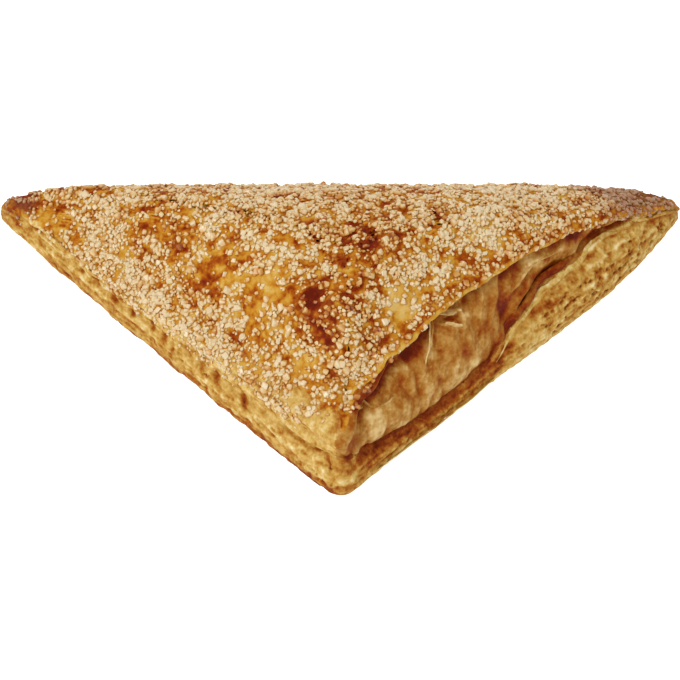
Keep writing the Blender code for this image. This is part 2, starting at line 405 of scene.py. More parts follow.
@dataclass(frozen=True)
class PastryFinish(Finish):
    """Baked puff pastry: a matt to satin dough whose colour follows its bake value.

    The bake value of each place comes from the mesh: how far it is baked, with painted shade in hollows,
    grooves and slits and painted highlight on raised folds and streaks; noise of real crumb size breaks it
    up.

    Attributes:
        mottle: how much patches move the bake value.
        mottle_mm: how wide the patches are.
        fleck: how much finer specks move it.
        fleck_mm: how wide the specks are.
        bump_mm: how deep the skin's own grain is.
        bump_size_mm: how wide that grain is.
    """

    mottle: float
    mottle_mm: float
    fleck: float
    fleck_mm: float
    bump_mm: float
    bump_size_mm: float

    def dress(self, tree: bpy.types.NodeTree, shader: bpy.types.Node) -> None:
        """Adds the nodes: colour by bake and noise, an uneven shine, and a fine grain.

        Args:
            tree: the material's node tree.
            shader: its shader.
        """
        place = add_node(tree, "ShaderNodeTexCoord").outputs["Object"]
        bake = add_node(tree, "ShaderNodeAttribute", attribute_name="bake").outputs["Fac"]
        patches, specks, grain = (
            add_node(
                tree,
                "ShaderNodeTexNoise",
                links={"Vector": place},
                values={"Scale": 1 / (wide * MM), "Detail": detail, "Roughness": rough},
            ).outputs["Fac"]
            for wide, detail, rough in (
                (self.mottle_mm, 3.0, 0.6),
                (self.fleck_mm, 2.0, 0.5),
                (self.bump_size_mm, 4.0, 0.65),
            )
        )
        browned = bake
        for pattern, most in ((patches, self.mottle), (specks, self.fleck)):
            browned = add_node(
                tree,
                "ShaderNodeMath",
                operation="MULTIPLY_ADD",
                links={0: pattern, 2: browned},
                values={1: most},
            ).outputs[0]
        centred = add_node(
            tree,
            "ShaderNodeMath",
            operation="SUBTRACT",
            links={0: browned},
            values={1: (self.mottle + self.fleck) / 2},
        )
        colour = add_node(tree, "ShaderNodeValToRGB", links={"Fac": centred.outputs[0]})
        set_stops(colour.color_ramp, self.stops)
        scorch(tree, colour.outputs["Color"], 0.70, "#6e3a28")
        bump = add_node(
            tree,
            "ShaderNodeBump",
            links={"Height": grain},
            values={"Strength": 0.7, "Distance": self.bump_mm * MM},
        )
        tree.links.new(bump.outputs["Normal"], shader.inputs["Normal"])
        shine = add_node(
            tree,
            "ShaderNodeMapRange",
            links={"Value": patches},
            values={
                "From Min": 0.3,
                "From Max": 0.7,
                "To Min": self.roughness - 0.08,
                "To Max": self.roughness + 0.1,
            },
        )
        tree.links.new(shine.outputs["Result"], shader.inputs["Roughness"])
        shader.inputs["Subsurface Radius"].default_value = (1.0, 0.45, 0.18)
        shader.inputs["Subsurface Scale"].default_value = 1.2 * MM
        shader.inputs["IOR"].default_value = 1.45
        shader.inputs["Specular IOR Level"].default_value = 0.08  # flour and layers dull it


# Glazed skin of the leaf: satin, golden where it is thin of colour, rust brown where it blistered
BAKED_SKIN = PastryFinish(
    name="baked_puff_pastry_skin",
    stops=(
        (0.00, "#d4b064"),
        (0.25, "#ca9838"),
        (0.45, "#ba7618"),
        (0.62, "#9c4806"),
        (0.80, "#7c2400"),
        (1.00, "#601600"),
    ),
    mottle=0.80,
    mottle_mm=3.6,
    fleck=0.90,
    fleck_mm=1.4,
    roughness=0.50,
    bump_mm=0.25,
    bump_size_mm=1.1,
    subsurface=0.10,
)

# Cut and risen edge of the leaves: dry and matt, cream to ochre, darker in its open cells: partly browning,
# partly painted shade
CUT_CRUMB = PastryFinish(
    name="laminated_cut_crumb",
    stops=(
        (0.00, "#ead8a6"),
        (0.25, "#d0ac60"),
        (0.45, "#b68638"),
        (0.65, "#9c5414"),
        (0.85, "#7a300a"),
        (1.00, "#541a04"),
    ),
    mottle=0.80,
    mottle_mm=2.4,
    fleck=0.50,
    fleck_mm=0.8,
    roughness=0.62,
    bump_mm=0.16,
    bump_size_mm=0.8,
    subsurface=0.15,
)

# Inner leaves stretched thin by steam and filling: smooth, a little glossy, amber brown
STRETCHED_WEB = PastryFinish(
    name="stretched_inner_leaf",
    stops=(
        (0.00, "#dabb80"),
        (0.28, "#b98a45"),
        (0.50, "#a0641f"),
        (0.70, "#8d3e08"),
        (0.88, "#742404"),
        (1.00, "#641a02"),
    ),
    mottle=0.90,
    mottle_mm=3.0,
    fleck=0.50,
    fleck_mm=0.9,
    roughness=0.42,
    bump_mm=0.14,
    bump_size_mm=1.0,
    subsurface=0.12,
)


@dataclass(frozen=True)
class SugarFinish(Finish):
    """Coarse crystal sugar: clear grains that scatter light, cream to amber by a tint that is partly glaze
    and partly painted shade.
    """

    def dress(self, tree: bpy.types.NodeTree, shader: bpy.types.Node) -> None:
        """Adds the nodes: colour by each grain's tint, partly glaze and browning and partly painted shade
        toward its foot.

        Args:
            tree: the material's node tree.
            shader: its shader.
        """
        tint = add_node(tree, "ShaderNodeAttribute", attribute_name="tint").outputs["Fac"]
        colour = add_node(tree, "ShaderNodeValToRGB", links={"Fac": tint})
        set_stops(colour.color_ramp, self.stops)
        scorch(tree, colour.outputs["Color"], 0.72, "#925c40")
        shader.inputs["Roughness"].default_value = self.roughness
        shader.inputs["Subsurface Radius"].default_value = (1.0, 0.7, 0.4)
        shader.inputs["Subsurface Scale"].default_value = 0.5 * MM
        shader.inputs["IOR"].default_value = 1.54


# Sugar grains: cream toward their tops, amber toward their feet, partly glaze and partly painted shade, and
# where they sit in the browned glaze
CRYSTAL_SUGAR = SugarFinish(
    name="coarse_crystal_sugar",
    stops=(
        (0.00, "#dec8a0"),
        (0.18, "#d4b074"),
        (0.38, "#c28228"),
        (0.60, "#a2540e"),
        (1.00, "#6a2604"),
    ),
    roughness=0.36,
    subsurface=0.20,
)


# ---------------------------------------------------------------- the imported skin


class Skin:
    """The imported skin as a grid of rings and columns, so that every place on it has a name.

    A place is a share along a cut leg, above 0 on the right leg and below 0 on the left one, with
    0 at the square corner and 1 at a tip, and a level among the rings. Past 1 it is on the fold.
    """

    BLEND = 11.0 * MM  # how gradually a leg turns into the fold at a tip

    def __init__(self, mesh: bpy.types.Mesh) -> None:
        """Finds the ring and the column of each point.

        Args:
            mesh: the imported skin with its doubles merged.
        """
        at = read_points(mesh)
        near: list[set[int]] = [set() for _ in at]
        for edge in mesh.edges:
            a, b = edge.vertices
            near[a].add(b)
            near[b].add(a)
        high = at[:, 2] > at[:, 2].max() / 2
        summit = max(range(len(at)), key=lambda i: len(near[i]) * high[i])
        rings = self._rings(near, summit)
        outline = self._cycle(near, rings[Ring.TOP_MIDDLE - Ring.LIP_LOW], at)
        outline = [outline[i] for i in self._measure(at[outline, :2])]
        cycles = {int(Ring.LIP_LOW): outline}
        self.last = Ring.TOP_MIDDLE - 3
        for level in (Ring.HEEL, *range(Ring.LIP_HIGH, self.last + 1)):
            known = cycles[level + 1] if level < Ring.LIP_LOW else cycles[level - 1]
            cycle = self._cycle(near, rings[Ring.TOP_MIDDLE - level], at)
            cycles[int(level)] = self._line_up(at, known, cycle)
        self.level = np.full(len(at), float(Ring.SOLE_EDGE))
        for steps, ring in enumerate(rings):
            self.level[ring] = max(Ring.TOP_MIDDLE - steps, Ring.SOLE_EDGE)
        named = np.concatenate([cycles[k] for k in sorted(cycles)])
        columns = np.tile(np.arange(len(outline)), len(cycles))
        self.column = np.zeros(len(at), int)
        for i, place in enumerate(at):
            self.column[i] = columns[np.argmin(((at[named] - place) ** 2).sum(axis=1))]
        sole = at[cycles[Ring.HEEL]] * (0.97, 0.97, 0.0)  # the heel rolls under a little
        inner = at[cycles[self.last]]
        shares = [k / (Ring.TOP_MIDDLE - self.last) for k in (1, 2, 3)]
        self.grid = np.array(
            [sole * 0.0, sole * 0.5, sole]
            + [at[cycles[k]] for k in range(Ring.HEEL, self.last + 1)]
            + [inner * (1 - s) + at[summit] * s for s in shares]
        )

    @staticmethod
    def _rings(near: list[set[int]], start: int) -> list[list[int]]:
        """Rings of points by their steps from the start, as growing a selection gives them.

        Args:
            near: each point's neighbours.
            start: the point in the middle.

        Returns:
            The points of each ring, from the middle outward.
        """
        rings, seen = [[start]], {start}
        while rings[-1]:
            grown = sorted({j for i in rings[-1] for j in near[i]} - seen)
            seen.update(grown)
            rings.append(grown)
        return rings[:-1]

    @staticmethod
    def _cycle(near: list[set[int]], ring: list[int], at: np.ndarray) -> list[int]:
        """One ring's points in order, anticlockwise from above.

        Args:
            near: each point's neighbours.
            ring: the ring's points.
            at: every point's place.

        Returns:
            The ring's points in order.
        """
        members = set(ring)
        cycle = [ring[0]]
        while len(cycle) < len(ring):
            onward = [j for j in sorted(near[cycle[-1]] & members) if j not in cycle[-2:]]
            cycle.append(onward[0])
        x, y = at[cycle, 0], at[cycle, 1]
        area = np.sum(x * np.roll(y, -1) - np.roll(x, -1) * y)
        return cycle if area > 0 else cycle[::-1]

    @staticmethod
    def _line_up(at: np.ndarray, known: list[int], cycle: list[int]) -> list[int]:
        """Turns a ring until its points lie nearest those of a known ring beside it.

        Args:
            at: every point's place.
            known: the known ring.
            cycle: the other ring, which may lack one point where two met.

        Returns:
            The other ring, turned, with one point named twice where it lacked one.
        """
        gaps = np.linalg.norm(at[known][:, None] - at[cycle][None], axis=2)
        rows, count = np.arange(len(known)), len(cycle)
        best: tuple[float, list[int]] = (math.inf, [])
        for shift in range(count):
            plain = (rows + shift) % count
            if count == len(known):
                options = [plain]
            else:
                before = np.cumsum(gaps[rows, plain])
                late = (rows + shift - 1) % count
                after = np.cumsum(gaps[rows, late][::-1])[::-1]
                twice = int(np.argmin(before[:-1] + after[1:])) + 1
                options = [np.where(rows < twice, plain, late)]
            for option in options:
                total = float(gaps[rows, option].sum())
                if total < best[0]:
                    best = (total, [cycle[i] for i in option])
        return best[1]

    def _measure(self, outline: np.ndarray) -> list[int]:
        """Measures the outline: the share along its leg, and how far on the fold, of each column.

        Args:
            outline: the outline's points from above, anticlockwise.

        Returns:
            The points' order from the middle of the fold, by the left leg and the right one.
        """
        count = len(outline)
        pairs = outline[:, 1] + np.roll(outline[:, 1], -1)
        last = int(np.argmin(pairs))
        order = [(last + 1 + i) % count for i in range(count)]
        walk = outline[order]
        steps = np.linalg.norm(walk - np.roll(walk, 1, axis=0), axis=1)
        lengths = np.cumsum(steps) - steps[0] / 2
        whole = float(steps.sum())
        right, left = lengths[np.argmax(walk[:, 0])], lengths[np.argmin(walk[:, 0])]
        self.leg_length = float(right)
        half = (right + left) / 2
        signed = np.where(lengths < half, lengths / right, -(whole - lengths) / (whole - left))
        past = np.minimum(lengths - right, left - lengths)
        start = int(np.searchsorted(lengths, half))
        roll = [(start + i) % count for i in range(count)]
        self.along = signed[roll]
        self.fold = eased(-0.5, 0.5, past / self.BLEND)[roll]
        return [order[i] for i in roll]

    def _sample(self, across: np.ndarray, level: np.ndarray) -> np.ndarray:
        """Points on the smooth surface through the grid.

        Args:
            across: fractional columns.
            level: fractional rings.

        Returns:
            Rows of x, y, z.
        """
        rows, columns = self.grid.shape[:2]
        level = np.clip(level, 0, rows - 1.001)
        i, j = np.floor(level).astype(int), np.floor(across).astype(int)
        v, u = level - i, across - j
        total = np.zeros((len(i), 3))
        for a, row_pull in enumerate(self._pulls(v), start=-1):
            for b, column_pull in enumerate(self._pulls(u), start=-1):
                row = np.clip(i + a, 0, rows - 1)
                total += (row_pull * column_pull)[:, None] * self.grid[row, (j + b) % columns]
        return total

    @staticmethod
    def _pulls(t: np.ndarray) -> tuple[np.ndarray, ...]:
        """How much each of four neighbours pulls at a place between the middle two.

        Args:
            t: how far the place is from the second to the third.

        Returns:
            The share of each neighbour.
        """
        return (
            -0.5 * t**3 + t**2 - 0.5 * t,
            1.5 * t**3 - 2.5 * t**2 + 1.0,
            -1.5 * t**3 + 2.0 * t**2 + 0.5 * t,
            0.5 * t**3 - 0.5 * t**2,
        )

    def place(self, along: np.ndarray, level: np.ndarray, lift: np.ndarray | float = 0.0) -> np.ndarray:
        """Points at named places.

        Args:
            along: shares along the legs.
            level: levels among the rings.
            lift: how far out of the skin, in metres.

        Returns:
            Rows of x, y, z.
        """
        along, level = np.broadcast_arrays(np.asarray(along, float), np.asarray(level, float))
        across = np.interp(along, self.along, np.arange(len(self.along)))
        at = self._sample(across, level)
        step = 0.05
        over = self._sample(across + step, level) - self._sample(across - step, level)
        up = self._sample(across, level + step) - self._sample(across, np.maximum(level - step, 0))
        out = np.cross(over, up)
        out /= np.maximum(np.linalg.norm(out, axis=1, keepdims=True), 1e-12)
        return at + out * np.broadcast_to(lift, along.shape)[:, None]


# ---------------------------------------------------------------- the crust


@dataclass(frozen=True)
class Spot:
    """A round patch of the top.

    Attributes:
        x: its middle, in millimetres.
        y: its middle, in millimetres.
        radius: how far it reaches, in millimetres.
        bake: how much browner it is; below 0 it is paler.
        sugar: how much more sugar lies on it; below 0 there is less.
    """

    x: float
    y: float
    radius: float
    bake: float
    sugar: float

    def reach(self, at: np.ndarray, uneven: np.ndarray) -> np.ndarray:
        """How much of the spot each place feels.

        Args:
            at: rows of x, y, z.
            uneven: how far the spot's edge is drawn in at each place.

        Returns:
            From 0 to 1, for each place.
        """
        away = np.hypot(at[:, 0] / MM - self.x, at[:, 1] / MM - self.y) / self.radius
        return np.exp(-(away**2) * (1.0 + uneven))


@dataclass(frozen=True)
class Crease:
    """A fold or a groove in the skin.

    Attributes:
        through: its places, each a share along the leg and a level.
        height: how far it stands out in millimetres; below 0 it sinks in.
        width: how far it reaches to each side, in millimetres.
        bake: what it adds to the bake value: partly browning, partly painted shade where it sinks and
            painted highlight where it stands out.
        power: how square its section is.
    """

    through: tuple[tuple[float, float], ...]
    height: float
    width: float
    bake: float = 0.0
    power: float = 1.8


def distance_to_line(at: np.ndarray, line: np.ndarray) -> np.ndarray:
    """How far each point is from a line through several places.

    Args:
        at: rows of x, y, z.
        line: the line's places in order.

    Returns:
        The distance of each point.
    """
    least = np.full(len(at), np.inf)
    for a, b in zip(line, line[1:]):
        run = b - a
        share = np.clip((at - a) @ run / max(run @ run, 1e-12), 0.0, 1.0)
        least = np.minimum(least, np.linalg.norm(at - a - share[:, None] * run, axis=1))
    return least


def sugar_gaps(at: np.ndarray) -> np.ndarray:
    """How far each place lies in a gap between clusters of sugar, from 0 to 1."""
    return eased(0.14, -0.24, noise_at(at, 2.5 * MM, 22))


@dataclass(frozen=True)
class EdgeFacts:
    """What is known of the edges of a mesh, one value for each.

    Attributes:
        level: its middle's level among the rings.
        along: its middle's share along its leg.
        fold: how much its middle belongs to the fold.
        climb: how many rings it climbs.
        length: in metres.
    """

    level: np.ndarray
    along: np.ndarray
    fold: np.ndarray
    climb: np.ndarray
    length: np.ndarray


@dataclass
class Relief:
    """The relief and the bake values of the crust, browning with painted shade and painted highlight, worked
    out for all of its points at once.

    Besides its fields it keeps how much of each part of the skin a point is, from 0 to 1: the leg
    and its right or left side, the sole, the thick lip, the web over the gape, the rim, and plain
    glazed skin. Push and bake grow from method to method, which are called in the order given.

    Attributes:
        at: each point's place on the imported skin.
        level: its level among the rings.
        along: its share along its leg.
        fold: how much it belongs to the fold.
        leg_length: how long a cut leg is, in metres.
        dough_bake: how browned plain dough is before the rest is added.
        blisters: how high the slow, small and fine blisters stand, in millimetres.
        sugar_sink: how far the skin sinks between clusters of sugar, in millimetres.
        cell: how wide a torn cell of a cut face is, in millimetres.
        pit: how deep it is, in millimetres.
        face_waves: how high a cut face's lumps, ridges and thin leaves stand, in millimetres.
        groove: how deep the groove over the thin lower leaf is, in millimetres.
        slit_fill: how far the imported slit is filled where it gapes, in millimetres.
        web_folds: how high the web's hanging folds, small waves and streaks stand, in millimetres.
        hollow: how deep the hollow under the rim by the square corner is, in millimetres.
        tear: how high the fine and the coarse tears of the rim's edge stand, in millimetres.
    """

    at: np.ndarray
    level: np.ndarray
    along: np.ndarray
    fold: np.ndarray
    leg_length: float
    dough_bake: float = 0.40
    blisters: tuple[float, float, float] = (0.45, 0.28, 0.10)
    sugar_sink: float = 0.30
    cell: float = 0.95
    pit: float = 0.7
    face_waves: tuple[float, float, float] = (0.38, 0.15, 0.24)
    groove: float = 0.35
    slit_fill: float = 3.0
    web_folds: tuple[float, float, float] = (0.60, 0.25, 0.14)
    hollow: float = 0.25
    tear: tuple[float, float] = (0.22, 0.25)

    def __post_init__(self) -> None:
        """Tells the parts of the skin apart, and starts it flat and lightly baked."""
        at, level = self.at, self.level
        self.push = np.zeros(len(at))  # outward, in metres
        self.bake = np.full(len(at), self.dough_bake)
        self.leg = 1.0 - self.fold
        self.side = eased(-0.025, 0.025, self.along)
        self.right, self.left = self.leg * self.side, self.leg * (1.0 - self.side)
        self.sole = eased(Ring.HEEL, Ring.SOLE_EDGE, level)
        top = eased(Ring.RIM + 0.2, Ring.SHOULDER + 0.5, level)
        self.plain = np.maximum(top, self.fold * (1 - self.sole))  # glazed skin
        self.lip = self.leg * eased(Ring.SOLE_EDGE + 0.5, Ring.HEEL + 0.4, level)
        self.lip *= eased(Ring.LIP + 0.4, Ring.LIP - 0.1, level)
        self.web = self.leg * eased(Ring.LIP, Ring.WEB_FOOT, level)
        self.web *= eased(Ring.RIM_LOW + 0.3, Ring.WEB_HEAD, level)
        self.rim = self.leg * eased(Ring.WEB_HEAD + 0.4, Ring.RIM_LOW, level)
        self.rim *= eased(Ring.SHOULDER, Ring.RIM, level)
        self.shut = eased(0.50, 0.40, self.along)  # where the web's foot meets the lower leaf
        self.closed = eased(0.80, SHUT_FROM, self.along)  # where the gape has closed again
        self.rolled = self.leg * (1 - self.side) * eased(-0.27, -0.21, self.along)
        self.rolled *= eased(Ring.LIP, Ring.LIP + 1.0, level) * eased(15.5, 14.0, level)
        self.stretch = on_face(self.along * self.leg_length, at[:, 2])
        self.small = noise_at(at, 3.0 * MM, 2)
        self.fine = noise_at(at, 1.1 * MM, 3)

    def blister(self, spots: tuple[Spot, ...]) -> None:
        """Slow blisters of the baked skin, its finer unevenness and its browned patches.

        Args:
            spots: the patches.
        """
        at, plain, small = self.at, self.plain, self.small
        broad = noise_at(at, 9 * MM, 1)
        slow_mm, small_mm, fine_mm = self.blisters
        self.push += plain * (slow_mm * broad + small_mm * small + fine_mm * self.fine) * MM
        self.bake += plain * (0.18 * broad + 0.14 * small)
        gaps = sugar_gaps(at)
        self.push -= self.sugar_sink * plain * gaps * MM
        patchy = 0.25 + 0.75 * eased(-0.25, 0.25, noise_at(at, 5 * MM, 10))
        self.bake += 0.34 * plain * gaps * patchy - 0.08 * plain
        uneven = 0.6 * small + 0.4 * noise_at(at, 1.5 * MM, 14)
        for spot in spots:
            self.bake += plain * spot.bake * spot.reach(at, uneven)

    def tear_cells(self) -> None:
        """Cut faces: flat cells pressed out of line by the steam, deeper where they tore open."""
        at, level, lip, web, rim = self.at, self.level, self.lip, self.web, self.rim
        left, stretch = self.left, self.stretch
        chosen = np.flatnonzero((lip > 0.02) | ((left * (rim + web)) > 0.02))
        here = stretch[chosen] * (0.62, 1.0, 1.0)
        here[:, 2] += 0.5 * MM * noise_at(at[chosen], 2.5 * MM, 4)
        here[:, 0] += 0.5 * MM * noise_at(at[chosen], 2.2 * MM, 5)
        walls, shares = cells_at(here, self.cell * MM, 1)
        deep = np.zeros(len(at))
        deep[chosen] = eased(0.06, 0.4, walls) * np.clip((shares - 0.2) / 0.4, 0, 1)
        low_on_lip = eased(Ring.LIP, Ring.LIP_LOW + 0.8, level) * eased(Ring.HEEL, Ring.HEEL + 0.5, level)
        pits_right = self.right * lip * low_on_lip * (0.35 + 0.65 * eased(0.48, 0.62, self.along))
        pits_left = left * np.maximum(lip, 0.7 * web) * (0.3 + 0.7 * eased(-0.1, 0.4, self.small))
        pits = deep * np.maximum(pits_right, 0.7 * pits_left)
        lumps = noise_at(at * (1.0, 1.0, 1.5), 2.0 * MM, 6)
        ridges = noise_at(on_face(stretch[:, 0] * 0.3, at[:, 2]), 0.75 * MM, 7)
        face = np.maximum(lip, left * np.maximum(web, 0.8 * rim)) * (1 - 0.75 * self.rolled)
        wave = noise_at(at, 6 * MM, 12)[:, None] * (0, 0, 1)
        leaves = noise_at(stretch * (0.07, 1.0, 1.0) + 0.3 * MM * wave, 0.85 * MM, 13)
        lump_mm, ridge_mm, leaf_mm = self.face_waves
        waves = lump_mm * lumps + ridge_mm * ridges + leaf_mm * leaves
        self.push += face * waves * MM - self.pit * pits * MM
        # torn cells painted darker, partly browning and partly painted shade; raised lumps and leaves paler,
        # partly painted highlight
        self.bake += face * (-0.06 - 0.22 * lumps + 0.08 * ridges - 0.22 * leaves) + 0.40 * pits

    def brown_sides(self) -> None:
        """Where the cut sides browned, and where the left one stayed pale with dry flour."""
        level, along, side, left = self.level, self.along, self.side, self.left
        heel = eased(Ring.HEEL + 0.75, Ring.HEEL + 0.1, level)
        self.bake += self.leg * heel * (0.26 - 0.38 * side)
        low = eased(Ring.HEEL + 1.6, Ring.HEEL + 0.5, level)
        low *= eased(-0.62, -0.50, along) * (1 - side)
        corner = eased(Ring.LIP_LOW + 0.8, Ring.LIP_LOW, level) * eased(0.10, 0.02, np.abs(along))
        self.bake += self.leg * 0.14 * (low + corner)
        dusted = left * eased(-0.22, -0.34, along) * eased(-0.90, -0.80, along)
        dusted *= 0.75 + 0.6 * self.small
        dusted *= 0.03 + 0.11 * eased(-0.66, -0.50, along)
        dusted *= eased(Ring.LIP_LOW + 0.6, Ring.LIP, level)
        self.bake -= dusted * eased(Ring.SHOULDER + 1.0, Ring.RIM, level)
        self.bake += 0.10 * left * eased(Ring.LIP, Ring.LIP_LOW, level)
        top_edge = self.right * eased(Ring.LIP - 1.0, Ring.LIP, level)
        top_edge *= eased(Ring.LIP + 1.0, Ring.LIP, level)
        self.bake += 0.16 * top_edge

    def thin_lower_leaf(self) -> None:
        """Near the square corner the lower leaf is thin, with a groove over it painted rust: partly
        browning, partly painted shade.
        """
        level, along = self.level, self.along
        groove = self.right * eased(0.03, 0.09, along) * eased(0.52, 0.42, along)
        groove *= eased(Ring.LIP_LOW - 0.1, Ring.LIP_LOW + 0.7, level)
        groove *= eased(Ring.WEB_FOOT, Ring.SLIT, level)
        self.push -= self.groove * groove * MM
        # the groove is painted rust: partly browning, partly painted shade
        self.bake += (0.22 + 0.05 * eased(0.26, 0.20, along)) * groove

    def stretch_web(self) -> None:
        """The slit over the lip, filled to a shallow one and painted darker, and the folds of the web above
        it.
        """
        at, level, along, right = self.at, self.level, self.along, self.right
        shut, closed, stretch, small = self.shut, self.closed, self.stretch, self.small
        slit = right * np.exp(-(((level - Ring.SLIT - 0.2) / 0.75) ** 2))
        fill = 1.3 * shut + self.slit_fill * (1 - shut) * eased(0.74, 0.64, along) + 0.9 * closed
        self.push += fill * slit * MM
        foot = right * np.exp(-(((level - 8.3) / 0.9) ** 2))
        belly = 1.3 + 0.3 * eased(0.30, 0.16, along)
        self.push += belly * foot * eased(0.0, 0.05, along) * shut * MM
        # the slit is painted darker, partly browning and partly painted shade; the bellied web foot is
        # painted paler, a painted light
        self.bake += 0.18 * (1 - shut) * (1 - closed) * slit - 0.16 * shut * foot
        drape = noise_at(on_face(stretch[:, 0], at[:, 2] * 0.45), 3.4 * MM, 8)
        web = right * self.web
        fold_mm, small_mm, streak_mm = self.web_folds
        self.push += web * (fold_mm * drape + small_mm * small) * MM
        high = eased(9.6, 12.2, level)
        # folds and small waves painted paler where they stand out and darker in hollows and toward the rim:
        # partly browning, partly painted highlight and painted shade
        self.bake += web * (0.06 - 0.26 * drape - 0.22 * small + 0.08 * high)
        hang = on_face(stretch[:, 0] - 0.75 * at[:, 2], at[:, 2] * 0.16)
        streaks = noise_at(hang, 1.7 * MM, 15) + 0.4 * noise_at(hang, 0.7 * MM, 16)
        self.push += streak_mm * right * self.web * streaks * MM
        # the streaks are painted paler: partly paler layers, partly painted sheen
        self.bake -= 0.15 * right * self.web * streaks

    def hollow_under_rim(self) -> None:
        """The upper leaf's skin ends higher near the square corner, over a hollow painted rust: partly
        browning, partly painted shade.
        """
        level, along = self.level, self.along
        end = rim_low(along)
        hollow = self.right * eased(0.05, 0.10, along) * eased(0.32, 0.22, along)
        hollow *= eased(10.2, 11.2, level) * eased(end + 0.2, end - 0.3, level)
        self.push -= self.hollow * hollow * MM
        # painted shade in the hollow, partly rust browning
        self.bake += 0.26 * hollow
        under = self.right * np.exp(-(((level - end + 0.65) / 0.6) ** 2))
        under *= (1 - self.closed) * eased(0.03, 0.10, along)
        self.push -= 0.05 * under * MM
        # painted shadow in a band under the rim's overhang
        self.bake += 0.07 * under

    def crease(self, crease: Crease, skin: Skin) -> None:
        """One fold or groove.

        Args:
            crease: which one.
            skin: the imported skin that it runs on.
        """
        line = skin.place(*np.array(crease.through).T)
        away = distance_to_line(self.at, line) / (crease.width * MM)
        bump = np.exp(-(away**crease.power))
        level = self.level
        bump *= eased(Ring.SOLE_EDGE, Ring.HEEL + 0.5, level) * eased(Ring.SHOULDER, Ring.RIM, level)
        self.push += crease.height * MM * bump
        # a crease's bake is partly browning, partly painted shade in grooves and painted highlight on ridges
        self.bake += crease.bake * bump

    def trim_rim(self) -> None:
        """The smooth rib by the square corner, the upper leaf's ragged cut edge, and the baked base."""
        level, fold = self.level, self.fold
        self.bake -= 0.10 * self.rolled
        edge = self.right * eased(0.0, 0.08, self.along) * 0.14
        edge *= eased(Ring.RIM_MIDDLE, Ring.RIM, level)
        self.bake += edge * eased(Ring.SHOULDER, Ring.RIM + 0.5, level)
        fine_mm, coarse_mm = self.tear
        ragged = fine_mm * self.fine + coarse_mm * noise_at(self.at, 1.9 * MM, 9)
        self.push += self.leg * self.rim * ragged * (1 - 0.6 * self.side) * MM
        self.bake += self.sole * 0.15 + fold * eased(Ring.SHOULDER, Ring.HEEL, level) * 0.10


